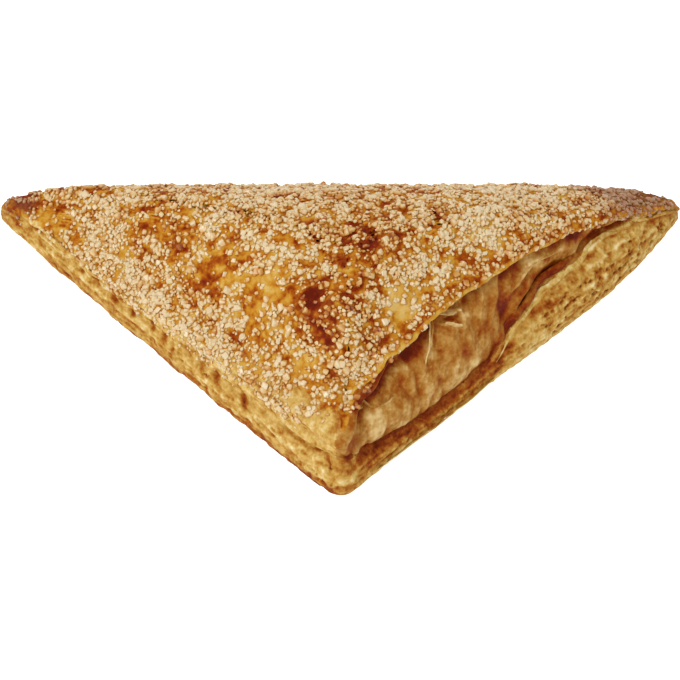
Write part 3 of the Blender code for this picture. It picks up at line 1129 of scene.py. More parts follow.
@dataclass
class Crust:
    """The baked dough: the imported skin, cut finer and given relief.

    Attributes:
        spots: browned and pale patches of the top.
        creases: the folds, hollows and torn cells of the two cut sides.
        facet: the size that the top's and the sole's facets are merged to.
        obj: the piece, once it is built.
        skin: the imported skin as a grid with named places.
    """

    spots: tuple[Spot, ...]
    creases: tuple[Crease, ...]
    facet: float = 0.42 * MM
    obj: bpy.types.Object = field(init=False)
    skin: Skin = field(init=False)

    def build(self, node: bpy.types.Object) -> None:
        """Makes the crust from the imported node.

        Args:
            node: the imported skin, which is left as it is.
        """
        self.obj = bpy.data.objects.new("baked_crust", node.data.copy())
        bpy.context.scene.collection.objects.link(self.obj)
        self.obj.data.materials.clear()
        self._name_places()
        self._cut_finer()
        self._shape()
        self._dress()
        claim(self.obj)
        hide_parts(NODE)

    def _name_places(self) -> None:
        """Merges the loose triangles, joins them in four-sided faces and marks ring and column."""
        with editing(self.obj, Pick.POINTS):
            bpy.ops.mesh.remove_doubles(threshold=DOUBLES)
        mesh = self.obj.data
        self.skin = Skin(mesh)
        level, column = self.skin.level, self.skin.column
        set_values(mesh, "level", level)
        set_values(mesh, "along", self.skin.along[column])
        set_values(mesh, "fold", self.skin.fold[column])
        ends = np.array([e.vertices[:] for e in mesh.edges])
        slanted = level[ends[:, 0]] != level[ends[:, 1]]
        slanted &= column[ends[:, 0]] != column[ends[:, 1]]
        slanted &= (level[ends] >= Ring.HEEL).all(axis=1) & (level[ends] <= self.skin.last).all(axis=1)
        with editing(self.obj, Pick.EDGES, slanted):
            bpy.ops.mesh.dissolve_edges(use_verts=False)
        low = np.array([all(level[v] < Ring.HEEL for v in p.vertices) for p in self.obj.data.polygons])
        with editing(self.obj, Pick.FACES, low):
            bpy.ops.mesh.dissolve_faces(use_verts=False)
        apply_modifier(self.obj, "SUBSURF", levels=2, render_levels=2)

    def _edges(self) -> EdgeFacts:
        """Measures the edges as the mesh is now.

        Returns:
            What is known of them.
        """
        mesh = self.obj.data
        ends = np.empty(len(mesh.edges) * 2, np.int32)
        mesh.edges.foreach_get("vertices", ends)
        ends = ends.reshape(-1, 2)
        at = read_points(mesh)
        level, along, fold = (get_values(mesh, n) for n in ("level", "along", "fold"))
        return EdgeFacts(
            level=level[ends].mean(axis=1),
            along=along[ends].mean(axis=1),
            fold=fold[ends].mean(axis=1),
            climb=np.abs(level[ends[:, 0]] - level[ends[:, 1]]),
            length=np.linalg.norm(at[ends[:, 0]] - at[ends[:, 1]], axis=1),
        )

    def _cut_finer(self) -> None:
        """Cuts the faces of the cut legs finer and merges slivers on the top and the sole."""
        level_run = 0.01  # an edge that climbs less than this runs along a ring
        for limit in (0.9 * MM, 0.5 * MM):
            edges = self._edges()
            side = (edges.level > Ring.HEEL) & (edges.level < Ring.RIM_LOW) & (edges.fold < 0.6)
            self._cut(side & (edges.climb > level_run) & (edges.length > limit))
        edges = self._edges()
        lip = (edges.level > Ring.HEEL) & (edges.level < Ring.LIP + 0.5) & (edges.fold < 0.6)
        self._cut(lip & (edges.climb < level_run) & (edges.length > 0.4 * MM))
        for across, limit in ((False, 0.36), (True, 0.40)):
            edges = self._edges()
            gape = (edges.level > Ring.LIP + 0.4) & (edges.level < Ring.RIM + 0.6)
            gape &= (edges.along > -0.03) & (edges.along < 0.72) & (edges.fold < 0.6)
            flat = (edges.climb < level_run) == across
            self._cut(gape & flat & (edges.length > limit * MM))
        level = get_values(self.obj.data, "level")
        broad = (level > Ring.SHOULDER + 0.3) | (level < Ring.SOLE_EDGE - 0.1)
        with editing(self.obj, Pick.POINTS, broad):
            bpy.ops.mesh.remove_doubles(threshold=self.facet)
        self.obj.data.validate()  # merging can lay one face over another

    def _cut(self, chosen: np.ndarray) -> None:
        """Cuts each chosen edge in two, and the faces between such edges with them."""
        with editing(self.obj, Pick.EDGES, chosen):
            bpy.ops.mesh.subdivide(number_cuts=1, ngon=True)

    def _shape(self) -> None:
        """Gives the skin its relief and its bake values."""
        mesh = self.obj.data
        at, out = read_points(mesh), read_normals(mesh)
        level, along, fold = (get_values(mesh, n) for n in ("level", "along", "fold"))
        relief = Relief(at, level, along, fold, self.skin.leg_length)
        relief.blister(self.spots)
        relief.tear_cells()
        relief.brown_sides()
        relief.thin_lower_leaf()
        relief.stretch_web()
        relief.hollow_under_rim()
        for crease in self.creases:
            relief.crease(crease, self.skin)
        relief.trim_rim()
        push = relief.push * eased(0.0, 1.2 * MM, at[:, 2])
        at += out * push[:, None]
        at[:, 2] = np.maximum(at[:, 2], 0.0)
        write_points(mesh, at)
        set_values(mesh, "bake", np.clip(relief.bake, 0.0, 1.0))
        set_values(mesh, "scorch", scorch_at(at) * relief.plain)

    def _dress(self) -> None:
        """Gives the skin, the cut faces and the stretched web their finishes."""
        mesh = self.obj.data
        for finish in (BAKED_SKIN, CUT_CRUMB, STRETCHED_WEB):
            mesh.materials.append(finish.material())
        level, along, fold = (get_values(mesh, n) for n in ("level", "along", "fold"))
        loose = 0.25 * noise_at(read_points(mesh), 2.0 * MM, 11)
        number = np.zeros(len(level), int)
        leg = fold < 0.5
        web_foot = Ring.LIP + 0.35 + loose
        cut = leg & (level > Ring.HEEL - 0.4) & (level < web_foot)
        pale = 1.6 * eased(-0.27, -0.18, along) + 3.0 * loose  # the glaze stops short of the square corner
        cut |= leg & (along < 0) & (level > Ring.HEEL) & (level < Ring.RIM + pale)
        web = leg & (along + 0.03 * loose > -0.008) & (level >= web_foot) & (level < rim_low(along) + 0.2)
        shut = leg & (along > SHUT_FROM) & (level < Ring.RIM_LOW + loose)
        number[cut], number[web], number[shut & web] = 1, 2, 1  # as the finishes are listed above
        starts = np.empty(len(mesh.polygons), np.int32)
        mesh.polygons.foreach_get("loop_start", starts)
        corners = np.empty(len(mesh.loops), np.int32)
        mesh.loops.foreach_get("vertex_index", corners)
        mesh.polygons.foreach_set("material_index", number[corners[starts]].astype(np.int32))
        mesh.shade_smooth()
        mesh.update()


# ---------------------------------------------------------------- loose leaves


@dataclass(frozen=True)
class Leaf:
    """A thin flake of dough that stands between a root line in the crust and its own free edge.

    Both lines run through (share along the leg, level, lift in millimetres) places.

    Attributes:
        name: the piece's name.
        root: where it grows out of the crust.
        edge: where its free edge runs.
        finish: what it is made of.
        bake: how browned it is.
        bow: how far its middle bellies out, in millimetres.
        ragged: how unevenly it is torn, as a share of its width.
        thick: in millimetres.
        cuts: how many faces it has for each place of its root line, and how many across.
    """

    name: str
    root: tuple[tuple[float, float, float], ...]
    edge: tuple[tuple[float, float, float], ...]
    finish: PastryFinish
    bake: float
    bow: float = 0.2
    ragged: float = 0.35
    thick: float = 0.16
    cuts: tuple[int, int] = (14, 4)

    def build(self, skin: Skin) -> None:
        """Models the leaf on the skin.

        Args:
            skin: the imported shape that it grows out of.
        """
        deselect_all()
        lengthwise, across = self.cuts
        bpy.ops.mesh.primitive_grid_add(
            x_subdivisions=lengthwise * len(self.root), y_subdivisions=across, size=1.0
        )
        obj = bpy.context.object
        obj.name = self.name
        mesh = obj.data
        u, v = (read_points(mesh)[:, :2] + 0.5).T
        root, edge = self._line(skin, self.root, u), self._line(skin, self.edge, u)
        belly = self._line(skin, self.root, u, self.bow * MM) - root
        narrow = eased(-0.02, 0.2, u) * eased(1.02, 0.8, u)  # it tapers to both ends
        torn = 1 + self.ragged * (noise_at(root, 1.6 * MM, 31) + 0.6 * noise_at(root, 0.6 * MM, 32))
        bowed = belly * (narrow * np.sin(math.pi * v))[:, None]
        at = root + (edge - root) * (v * torn * narrow)[:, None] + bowed
        write_points(mesh, at)
        bake = self.bake + 0.16 * (0.5 - v) + 0.2 * noise_at(at, 1.5 * MM, 33)
        set_values(mesh, "bake", np.clip(bake, 0.0, 1.0))
        apply_modifier(obj, "SOLIDIFY", thickness=self.thick * MM, offset=0.0)
        apply_modifier(obj, "SUBSURF", levels=1, render_levels=1)
        mesh = obj.data
        at = read_points(mesh)
        at[:, 2] = np.maximum(at[:, 2], 0.0)
        write_points(mesh, at)
        mesh.materials.append(self.finish.material())
        mesh.shade_smooth()
        claim(obj)

    @staticmethod
    def _line(
        skin: Skin, through: tuple[tuple[float, float, float], ...], shares: np.ndarray, lift: float = 0.0
    ) -> np.ndarray:
        """Points on one of its lines.

        Args:
            skin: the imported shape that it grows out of.
            through: the line's places.
            shares: how far along the line, from 0 to 1.
            lift: how far off the line, in metres.

        Returns:
            Rows of x, y, z.
        """
        places = np.array(through)
        steps = np.linspace(0, 1, len(places))
        along, level, out = (np.interp(shares, steps, column) for column in places.T)
        return skin.place(along, level, out * MM + lift)


# ---------------------------------------------------------------- sugar


class Bed:
    """The grains that lie on the crust already, kept by place so that neighbours are found fast."""

    def __init__(self, cell: float, taken: list[np.ndarray]) -> None:
        """Sorts in the grains that lie there.

        Args:
            cell: how wide the cells are that they are kept by, in metres.
            taken: rows of x, y, z and radius.
        """
        self.cell = cell
        self.grid: dict[tuple[int, ...], list[np.ndarray]] = {}
        for row in taken:
            self.add(row)

    def _cell_of(self, place: np.ndarray) -> tuple[int, ...]:
        """The cell that a place is in."""
        return tuple(int(v // self.cell) for v in place[:3])

    def add(self, row: np.ndarray) -> None:
        """Lays one more grain, a row of x, y, z and radius."""
        self.grid.setdefault(self._cell_of(row), []).append(row)

    def is_free(self, row: np.ndarray, bunch: float) -> bool:
        """Whether a grain finds room.

        Args:
            row: its x, y, z and radius.
            bunch: how close grains may lie, as a share of the distance at which they touch.

        Returns:
            True where no other grain is closer.
        """
        x, y, z, radius = row
        i, j, k = self._cell_of(row)
        for di, dj, dk in product((-1, 0, 1), repeat=3):
            for other in self.grid.get((i + di, j + dj, k + dk), ()):
                gap = (radius + other[3]) * bunch
                if (x - other[0]) ** 2 + (y - other[1]) ** 2 + (z - other[2]) ** 2 < gap * gap:
                    return False
        return True


@dataclass
class Sugar:
    """One kind of sugar grain, strewn over the crust.

    Attributes:
        name: the piece's name.
        count: how many grains are wanted.
        small: the smallest grain across, in millimetres.
        large: the largest.
        typical: the middle size.
        bunch: how close grains may lie, as a share of the distance at which they touch.
        seed: for the random draws.
        low: the level that it ran down to on the left side.
        crowd: how much more of it lies along the left shoulder, where it ran down.
        kinds: how many different grains are modelled and copied.
        tries: how many places are tried for each grain wanted.
        spread: how much the sizes differ, as a share of the middle one.
        bevel: how far a grain's edges are worn off, as a share of its width.
        uneven: how far its corners are out of place, as a share of its width.
        flat: how much it is flattened where it lies.
        obj: the piece, once it is strewn.
    """

    name: str
    count: int
    small: float
    large: float
    typical: float
    bunch: float
    seed: int
    low: float
    crowd: float = 0.0
    kinds: int = 7
    tries: int = 14
    spread: float = 0.22
    bevel: float = 0.17
    uneven: float = 0.20
    flat: float = 0.30
    obj: bpy.types.Object = field(init=False)

    def _grain(self, random: np.random.Generator) -> tuple[np.ndarray, list[tuple[int, ...]]]:
        """Models one worn crystal about 1 across: a cube with uneven corners, its edges bevelled.

        Args:
            random: for the uneven corners.

        Returns:
            Its points and its faces.
        """
        deselect_all()
        bpy.ops.mesh.primitive_cube_add(size=1.0)
        obj = bpy.context.object
        at = read_points(obj.data) * random.uniform(0.72, 1.22, 3)
        at += random.uniform(-self.uneven, self.uneven, at.shape)
        write_points(obj.data, at)
        with editing(obj, Pick.EDGES):
            bpy.ops.mesh.bevel(offset=self.bevel, segments=1, affect="EDGES")
        mesh = obj.data
        points = read_points(mesh)
        faces = [tuple(p.vertices) for p in mesh.polygons]
        bpy.data.objects.remove(obj)
        bpy.data.meshes.remove(mesh)
        return points, faces

    def scatter(
        self,
        crust: bpy.types.Object,
        wanted: np.ndarray,
        taken: list[np.ndarray],
        bake: np.ndarray,
    ) -> None:
        """Strews the grains and makes the piece.

        Args:
            crust: what they lie on.
            wanted: how much sugar each of its points wants, from 0 to 1.
            taken: rows of x, y, z and radius of grains that lie there already; this kind's are added.
            bake: the crust's bake value at each point.
        """
        random = np.random.default_rng(self.seed)
        mesh = crust.data
        mesh.calc_loop_triangles()
        tris = np.empty(len(mesh.loop_triangles) * 3, np.int32)
        mesh.loop_triangles.foreach_get("vertices", tris)
        tris = tris.reshape(-1, 3)
        at, out = read_points(mesh), read_normals(mesh)
        a, b, c = at[tris[:, 0]], at[tris[:, 1]], at[tris[:, 2]]
        area = np.linalg.norm(np.cross(b - a, c - a), axis=1) / 2
        weight = area * wanted[tris].mean(axis=1)
        tries = self.count * self.tries
        picks = random.choice(len(tris), tries, p=weight / weight.sum())
        shares = random.dirichlet((1.0, 1.0, 1.0), tries)
        places = np.einsum("ij,ijk->ik", shares, at[tris[picks]])
        ways = np.einsum("ij,ijk->ik", shares, out[tris[picks]])
        ways /= np.linalg.norm(ways, axis=1, keepdims=True)
        baked = np.einsum("ij,ij->i", shares, bake[tris[picks]])
        sizes = self.typical * np.exp(random.normal(0, self.spread, tries))
        sizes = np.clip(sizes, self.small, self.large) * MM

        bed = Bed(self.large * MM, taken)
        kept: list[int] = []
        for i, row in enumerate(np.column_stack([places, sizes / 2])):
            if len(kept) >= self.count:
                break
            if bed.is_free(row, self.bunch):
                kept.append(i)
                bed.add(row)
                taken.append(row)
        self._join(random, places[kept], ways[kept], sizes[kept], baked[kept])
        log.info("%s: %d grains of %d wanted", self.name, len(kept), self.count)

    def _join(
        self,
        random: np.random.Generator,
        places: np.ndarray,
        ways: np.ndarray,
        sizes: np.ndarray,
        baked: np.ndarray,
    ) -> None:
        """Copies the modelled grains to their places, turned at random, in one mesh.

        Args:
            random: for the turns and tints.
            places: where each grain touches the crust.
            ways: outward there.
            sizes: each grain's width in metres.
            baked: the crust's bake value there.
        """
        kinds = [self._grain(random) for _ in range(self.kinds)]
        points: list[np.ndarray] = []
        faces: list[tuple[int, ...]] = []
        tints: list[np.ndarray] = []
        start = 0
        for i, (place, way, size) in enumerate(zip(places, ways, sizes)):
            shape, sides = kinds[i % self.kinds]
            q = random.normal(size=4)
            w, x, y, z = q / np.linalg.norm(q)
            turn = np.array(
                [
                    [1 - 2 * (y * y + z * z), 2 * (x * y - z * w), 2 * (x * z + y * w)],
                    [2 * (x * y + z * w), 1 - 2 * (x * x + z * z), 2 * (y * z - x * w)],
                    [2 * (x * z - y * w), 2 * (y * z + x * w), 1 - 2 * (x * x + y * y)],
                ]
            )
            turned = shape @ turn.T
            turned -= self.flat * np.outer(turned @ way, way)
            points.append(turned * size + place + way * size * random.uniform(0.0, 0.22))
            faces.extend(tuple(start + v for v in side) for side in sides)
            tint = 0.44 + 0.85 * (baked[i] - 0.4) + random.normal(0, 0.13)
            tints.append(tint - 1.05 * (turned @ way))  # darker toward its foot: partly glaze it took up, partly painted shade with the crust's brown painted in as if seen through the clear grain
            start += len(shape)
        mesh = bpy.data.meshes.new(self.name)
        mesh.from_pydata(np.concatenate(points), [], faces)
        set_values(mesh, "tint", np.clip(np.concatenate(tints), 0.0, 1.0))
        set_values(mesh, "scorch", np.repeat(scorch_at(places), [len(p) for p in points]))
        mesh.materials.append(CRYSTAL_SUGAR.material())
        mesh.validate()
        self.obj = bpy.data.objects.new(self.name, mesh)
        bpy.context.scene.collection.objects.link(self.obj)
        claim(self.obj)


# ---------------------------------------------------------------- studio


@dataclass
class Studio:
    """A pale floor, soft lights and a camera that looks down on the square corner.

    Attributes:
        elevation: how high above the table the camera looks from, in radians.
        distance: from the point it looks at, in metres.
        aim_height: how high that point is, in metres.
        lens: its focal length, in millimetres.
        shift: how far the picture is shifted, as a share of its width.
        floor_size: in metres.
        lamps: each soft light's name, place and width in metres, and power in watts.
    """

    elevation: float = math.radians(53.0)
    distance: float = 0.62
    aim_height: float = 12.0 * MM
    lens: float = 138.7
    shift: float = -0.0235
    floor_size: float = 6.0
    lamps: tuple[tuple[str, tuple[float, float, float], float, float], ...] = (
        ("key_light", (-0.55, -0.50, 0.95), 0.45, 7.8),
        ("fill_light", (0.75, -0.35, 0.70), 0.9, 1.7),
        ("back_light", (0.05, 0.85, 0.80), 0.9, 2.4),
    )

    def build(self) -> None:
        """Makes the floor, the lights and the camera."""
        self._floor()
        for name, place, size, power in self.lamps:
            self._light(name, place, size, power)
        self._sky()
        self._camera()

    def _floor(self) -> None:
        """A large pale matt floor."""
        deselect_all()
        bpy.ops.mesh.primitive_plane_add(size=self.floor_size, location=(0.0, 0.0, -0.05 * MM))
        floor = bpy.context.object
        floor.name = "studio_floor"
        paper = bpy.data.materials.new("white_paper")
        paper.use_nodes = True
        shader = paper.node_tree.nodes["Principled BSDF"]
        shader.inputs["Base Color"].default_value = linear("#f7f6f4")
        shader.inputs["Roughness"].default_value = 0.9
        shader.inputs["Emission Color"].default_value = (1.0, 1.0, 1.0, 1.0)
        seen = add_node(paper.node_tree, "ShaderNodeLightPath").outputs["Is Camera Ray"]
        glow = add_node(
            paper.node_tree,
            "ShaderNodeMath",
            operation="MULTIPLY_ADD",
            links={0: seen},
            values={1: 0.6, 2: 0.25},
        )
        paper.node_tree.links.new(glow.outputs[0], shader.inputs["Emission Strength"])
        floor.data.materials.append(paper)

    def _light(self, name: str, place: tuple[float, float, float], size: float, power: float) -> None:
        """A square soft light aimed at the pastry.

        Args:
            name: its name.
            place: where it hangs, in metres.
            size: its width, in metres.
            power: in watts.
        """
        lamp = bpy.data.lights.new(name, "AREA")
        lamp.size = size
        lamp.energy = power
        obj = bpy.data.objects.new(name, lamp)
        obj.location = place
        obj.rotation_euler = (-Vector(place)).to_track_quat("-Z", "Y").to_euler()
        bpy.context.scene.collection.objects.link(obj)

    def _sky(self) -> None:
        """Even white light from all round."""
        world = bpy.data.worlds.new("studio_sky")
        world.use_nodes = True
        back = world.node_tree.nodes["Background"]
        back.inputs["Color"].default_value = (1.0, 1.0, 1.0, 1.0)
        back.inputs["Strength"].default_value = 0.50
        bpy.context.scene.world = world
        bpy.context.scene.view_settings.view_transform = "Standard"

    def _camera(self) -> None:
        """The camera, in front of the square corner and well above it."""
        data = bpy.data.cameras.new("camera")
        data.lens = self.lens
        data.shift_y = self.shift
        data.clip_start = 0.01
        camera = bpy.data.objects.new("camera", data)
        away = Vector((0.0, -math.cos(self.elevation), math.sin(self.elevation)))
        camera.location = Vector((0.0, 0.0, self.aim_height)) + away * self.distance
        camera.rotation_euler = (-away).to_track_quat("-Z", "Y").to_euler()
        bpy.context.scene.collection.objects.link(camera)
        bpy.context.scene.camera = camera


# ---------------------------------------------------------------- the pastry

# Where the top blistered and browned, where it stayed golden and bare, where the sugar lies thick
TOP_SPOTS = (
    Spot(6.0, 3.8, 5.2, 0.40, -0.28),
    Spot(3.6, 8.6, 3.6, 0.04, 0.0),
    Spot(-5.6, -8.6, 4.4, 0.27, -0.28),
    Spot(1.0, -5.4, 3.8, 0.02, -0.12),
    Spot(-7.6, -9.8, 3.2, 0.10, -0.20),
    Spot(-37.8, 15.2, 3.4, 0.42, -0.32),
    Spot(-35.2, 4.5, 3.0, 0.40, -0.36),
    Spot(-41.6, 23.7, 4.0, 0.08, -0.06),
    Spot(22.2, 16.0, 3.4, 0.16, -0.24),
    Spot(21.4, 10.8, 2.8, -0.04, -0.16),
    Spot(7.0, 6.0, 2.6, 0.10, -0.20),
    Spot(29.0, -0.6, 2.6, 0.30, -0.25),
    Spot(36.1, 4.8, 2.2, 0.30, -0.25),
    Spot(6.9, -12.2, 3.6, 0.22, -0.15),
    Spot(-2.3, -12.6, 3.4, 0.16, -0.30),
    Spot(64.0, 31.5, 8.0, 0.06, 0.20),
    Spot(41.0, 30.0, 13.0, -0.10, 0.30),
    Spot(-79.8, 36.7, 5.5, 0.30, -0.50),
    Spot(-0.5, -34.6, 1.3, 0.45, 0.0),
    Spot(-68.8, 30.3, 5.0, 0.04, -0.35),
    Spot(-31.7, 8.6, 4.6, -0.14, -0.42),
    Spot(-31.4, 13.2, 3.2, -0.24, 0.20),
    Spot(-26.9, 5.1, 5.0, 0.04, -0.42),
    Spot(-20.0, -2.0, 5.0, -0.12, -0.42),
    Spot(-20.8, -9.3, 4.5, 0.06, -0.32),
    Spot(-13.8, -14.9, 4.5, 0.02, -0.34),
    Spot(-4.6, -21.4, 5.0, -0.02, -0.30),
    Spot(12.6, -7.9, 4.6, -0.22, -0.42),
    Spot(-45.2, 21.4, 4.4, 0.14, -0.34),
    Spot(26.1, 25.2, 4.2, -0.10, -0.20),
    Spot(-1.5, -34.6, 3.6, -0.04, -1.30),
    Spot(-6.4, -32.6, 2.4, -0.12, -1.20),
    Spot(1.5, -38.0, 3.5, 0.0, -1.20),
    Spot(-55.5, 22.4, 8.5, -0.10, 0.42),
    Spot(-46.0, 10.0, 7.0, -0.08, 0.25),
    Spot(-38.8, -1.4, 7.0, 0.0, 0.50),
    Spot(-29.3, -8.7, 6.5, 0.0, 0.50),
    Spot(-9.3, 13.4, 8.0, 0.0, 0.30),
    Spot(-19.0, 23.0, 10.0, -0.06, 0.45),
    Spot(6.8, -16.7, 5.0, 0.0, 0.40),
    Spot(2.3, -24.8, 4.5, 0.0, 0.30),
    Spot(17.3, 1.5, 5.0, -0.04, 0.35),
    Spot(35.1, 12.9, 7.0, -0.10, 0.44),
    Spot(47.3, 22.0, 9.0, -0.10, 0.50),
    Spot(2.4, 24.0, 9.0, 0.0, 0.30),
)

# The gaping right side, from the rim down: a standing fold of the inner leaf with a hollow beside it
# painted rust with painted shade, a torn pocket, hanging folds, and the pale ridge before the hollow over
# the thick lip
RIGHT_CREASES = (
    Crease(((0.336, 11.6), (0.326, 10.5), (0.306, 10.2)), 1.1, 0.45, -0.30),
    Crease(((0.306, 10.2), (0.284, 10.0), (0.268, 9.6)), 1.0, 0.45, -0.14),
    Crease(((0.305, 11.0), (0.285, 10.6), (0.262, 10.45)), -0.2, 2.6, 0.42, 2.4),
    Crease(((0.245, 10.5), (0.195, 10.6)), -0.3, 2.2, 0.14, 2.4),
    Crease(((0.340, 10.9), (0.370, 10.6), (0.394, 10.4)), 0.8, 0.35, -0.34),
    Crease(((0.346, 10.4), (0.370, 10.1), (0.390, 9.85)), 0.8, 0.35, -0.34),
    Crease(((0.394, 10.4), (0.397, 10.1), (0.390, 9.85)), 0.8, 0.4, -0.36),
    Crease(((0.358, 10.42), (0.382, 10.25)), -0.8, 0.55, 0.30),
    Crease(((0.404, 10.15), (0.408, 10.05)), 0.8, 0.7, -0.30),
    Crease(((0.414, 10.5), (0.424, 10.8)), -0.9, 0.9, 0.30),
    Crease(((0.460, 11.2), (0.452, 10.3), (0.438, 10.0), (0.426, 9.7)), 0.6, 0.35, -0.28),
    Crease(((0.506, 11.4), (0.492, 10.4), (0.478, 9.8), (0.462, 9.5), (0.446, 9.3)), 0.5, 0.45, -0.22),
    Crease(((0.486, 11.2), (0.472, 10.3), (0.456, 9.8), (0.440, 9.4)), -0.3, 0.6, 0.16),
    Crease(((0.530, 11.6), (0.512, 10.6), (0.494, 10.0), (0.480, 9.4)), -0.2, 1.2, 0.14),
    Crease(((0.376, 10.9), (0.384, 11.8)), 0.5, 1.0, -0.16),
    Crease(((0.356, 9.7), (0.372, 9.4)), 0.8, 3.6, 0.02),
    Crease(((0.378, 8.75), (0.372, 8.6)), 0.3, 0.9, -0.36),
    Crease(((0.340, 8.95), (0.332, 8.85)), 0.3, 0.7, -0.34),
    Crease(((0.352, 8.4), (0.340, 8.4)), 0.3, 0.8, -0.28),
    Crease(((0.334, 9.3), (0.312, 9.35), (0.292, 9.2), (0.284, 8.7)), 0.6, 0.3, -0.30),
    Crease(((0.300, 8.9), (0.296, 8.3)), -0.5, 0.6, 0.24),
    Crease(((0.250, 9.6), (0.242, 8.8), (0.236, 8.2)), -0.6, 0.7, 0.24),
    Crease(((0.268, 9.4), (0.258, 8.8), (0.252, 8.2)), 0.5, 0.4, -0.20),
    Crease(((0.430, 9.2), (0.416, 8.7), (0.404, 8.2)), -0.4, 0.7, 0.20),
    Crease(((0.410, 9.4), (0.396, 8.9), (0.386, 8.3)), 0.4, 0.4, -0.16),
    # the pale edge of the inner leaf, the hollow under it and the pale top edge of the thick leaf
    Crease(((0.512, 9.5), (0.546, 9.9), (0.580, 10.15), (0.608, 10.1), (0.660, 9.8)), 0.5, 0.6, -0.30),
    Crease(((0.560, 9.4), (0.600, 9.45), (0.650, 9.3)), 0.5, 1.0, -0.10),
    Crease(
        ((0.440, 7.2), (0.500, 7.6), (0.540, 8.6), (0.580, 8.6), (0.620, 8.2), (0.660, 7.4)),
        -0.1, 1.5, 0.26,
    ),
    Crease(((0.455, 8.2), (0.484, 8.2), (0.514, 8.5), (0.540, 9.0), (0.580, 9.1)), 1.0, 1.1, 0.04),
    Crease(((0.830, 6.8), (0.780, 7.4), (0.740, 9.5), (0.700, 10.4), (0.640, 11.2)), -0.2, 1.8, 0.26),
    Crease(((0.530, 10.8), (0.505, 9.9), (0.480, 9.0), (0.450, 8.0)), 0.0, 2.8, 0.17),
    Crease(((0.420, 11.6), (0.480, 11.6), (0.560, 11.7), (0.640, 11.4)), -0.2, 1.6, 0.14),
    Crease(((0.740, 5.95), (0.800, 5.6), (0.880, 5.3)), 0.2, 2.2, -0.12),
    Crease(((0.640, 4.4), (0.720, 4.4), (0.800, 4.6), (0.860, 4.8)), -0.2, 1.8, 0.16),
    Crease(((0.560, 5.0), (0.600, 5.4), (0.640, 4.9)), -0.2, 1.6, 0.12),
    Crease(
        ((0.430, 6.3), (0.504, 6.2), (0.560, 6.25), (0.606, 6.0), (0.658, 6.2), (0.710, 6.15), (0.790, 6.0),
         (0.850, 5.8)),
        0.5, 0.55, -0.40,
    ),
    # the pale flap by the square corner, and the painted rust shadow over it
    Crease(((0.190, 9.2), (0.150, 9.2), (0.120, 9.3)), 0.7, 2.6, -0.12, 2.4),
    Crease(((0.140, 9.8), (0.132, 9.3)), 0.2, 1.8, -0.20),
    Crease(((0.140, 8.8), (0.134, 8.5)), 0.2, 1.5, -0.20),
    Crease(((0.050, 11.6), (0.030, 10.2), (0.010, 8.8)), 0.5, 3.0, -0.02),
    Crease(((0.200, 10.7), (0.150, 11.2), (0.110, 12.4), (0.090, 13.4)), -0.2, 1.3, 0.24),
    Crease(((-0.024, 13.6), (-0.006, 12.4), (0.010, 11.2), (0.030, 10.0)), 0.2, 2.4, 0.02),
    Crease(((0.150, 8.9), (0.142, 8.2)), -0.5, 0.6, 0.24),
    Crease(((0.100, 9.1), (0.096, 8.3)), -0.4, 0.6, 0.20),
    Crease(((0.060, 9.6), (0.040, 8.8), (0.030, 8.2)), -0.3, 1.3, 0.20),
    Crease(((0.010, 6.6), (0.030, 6.3)), -0.6, 0.9, 0.30),
    Crease(((-0.022, 14.7), (-0.021, 14.7)), -0.5, 1.0, 0.45),
    # worm-like walls between the cells of the thick leaf
    Crease(((0.700, 5.9), (0.714, 5.5), (0.706, 5.0)), 0.4, 0.5, -0.22),
    Crease(((0.750, 5.7), (0.756, 5.2), (0.744, 4.8)), 0.4, 0.45, -0.22),
    Crease(((0.680, 5.9), (0.688, 5.5), (0.676, 5.0)), 0.4, 0.45, -0.22),
    Crease(((0.640, 5.6), (0.644, 5.0), (0.634, 4.5)), 0.4, 0.45, -0.20),
    Crease(((0.600, 5.6), (0.602, 5.0), (0.592, 4.5)), 0.4, 0.4, -0.20),
)
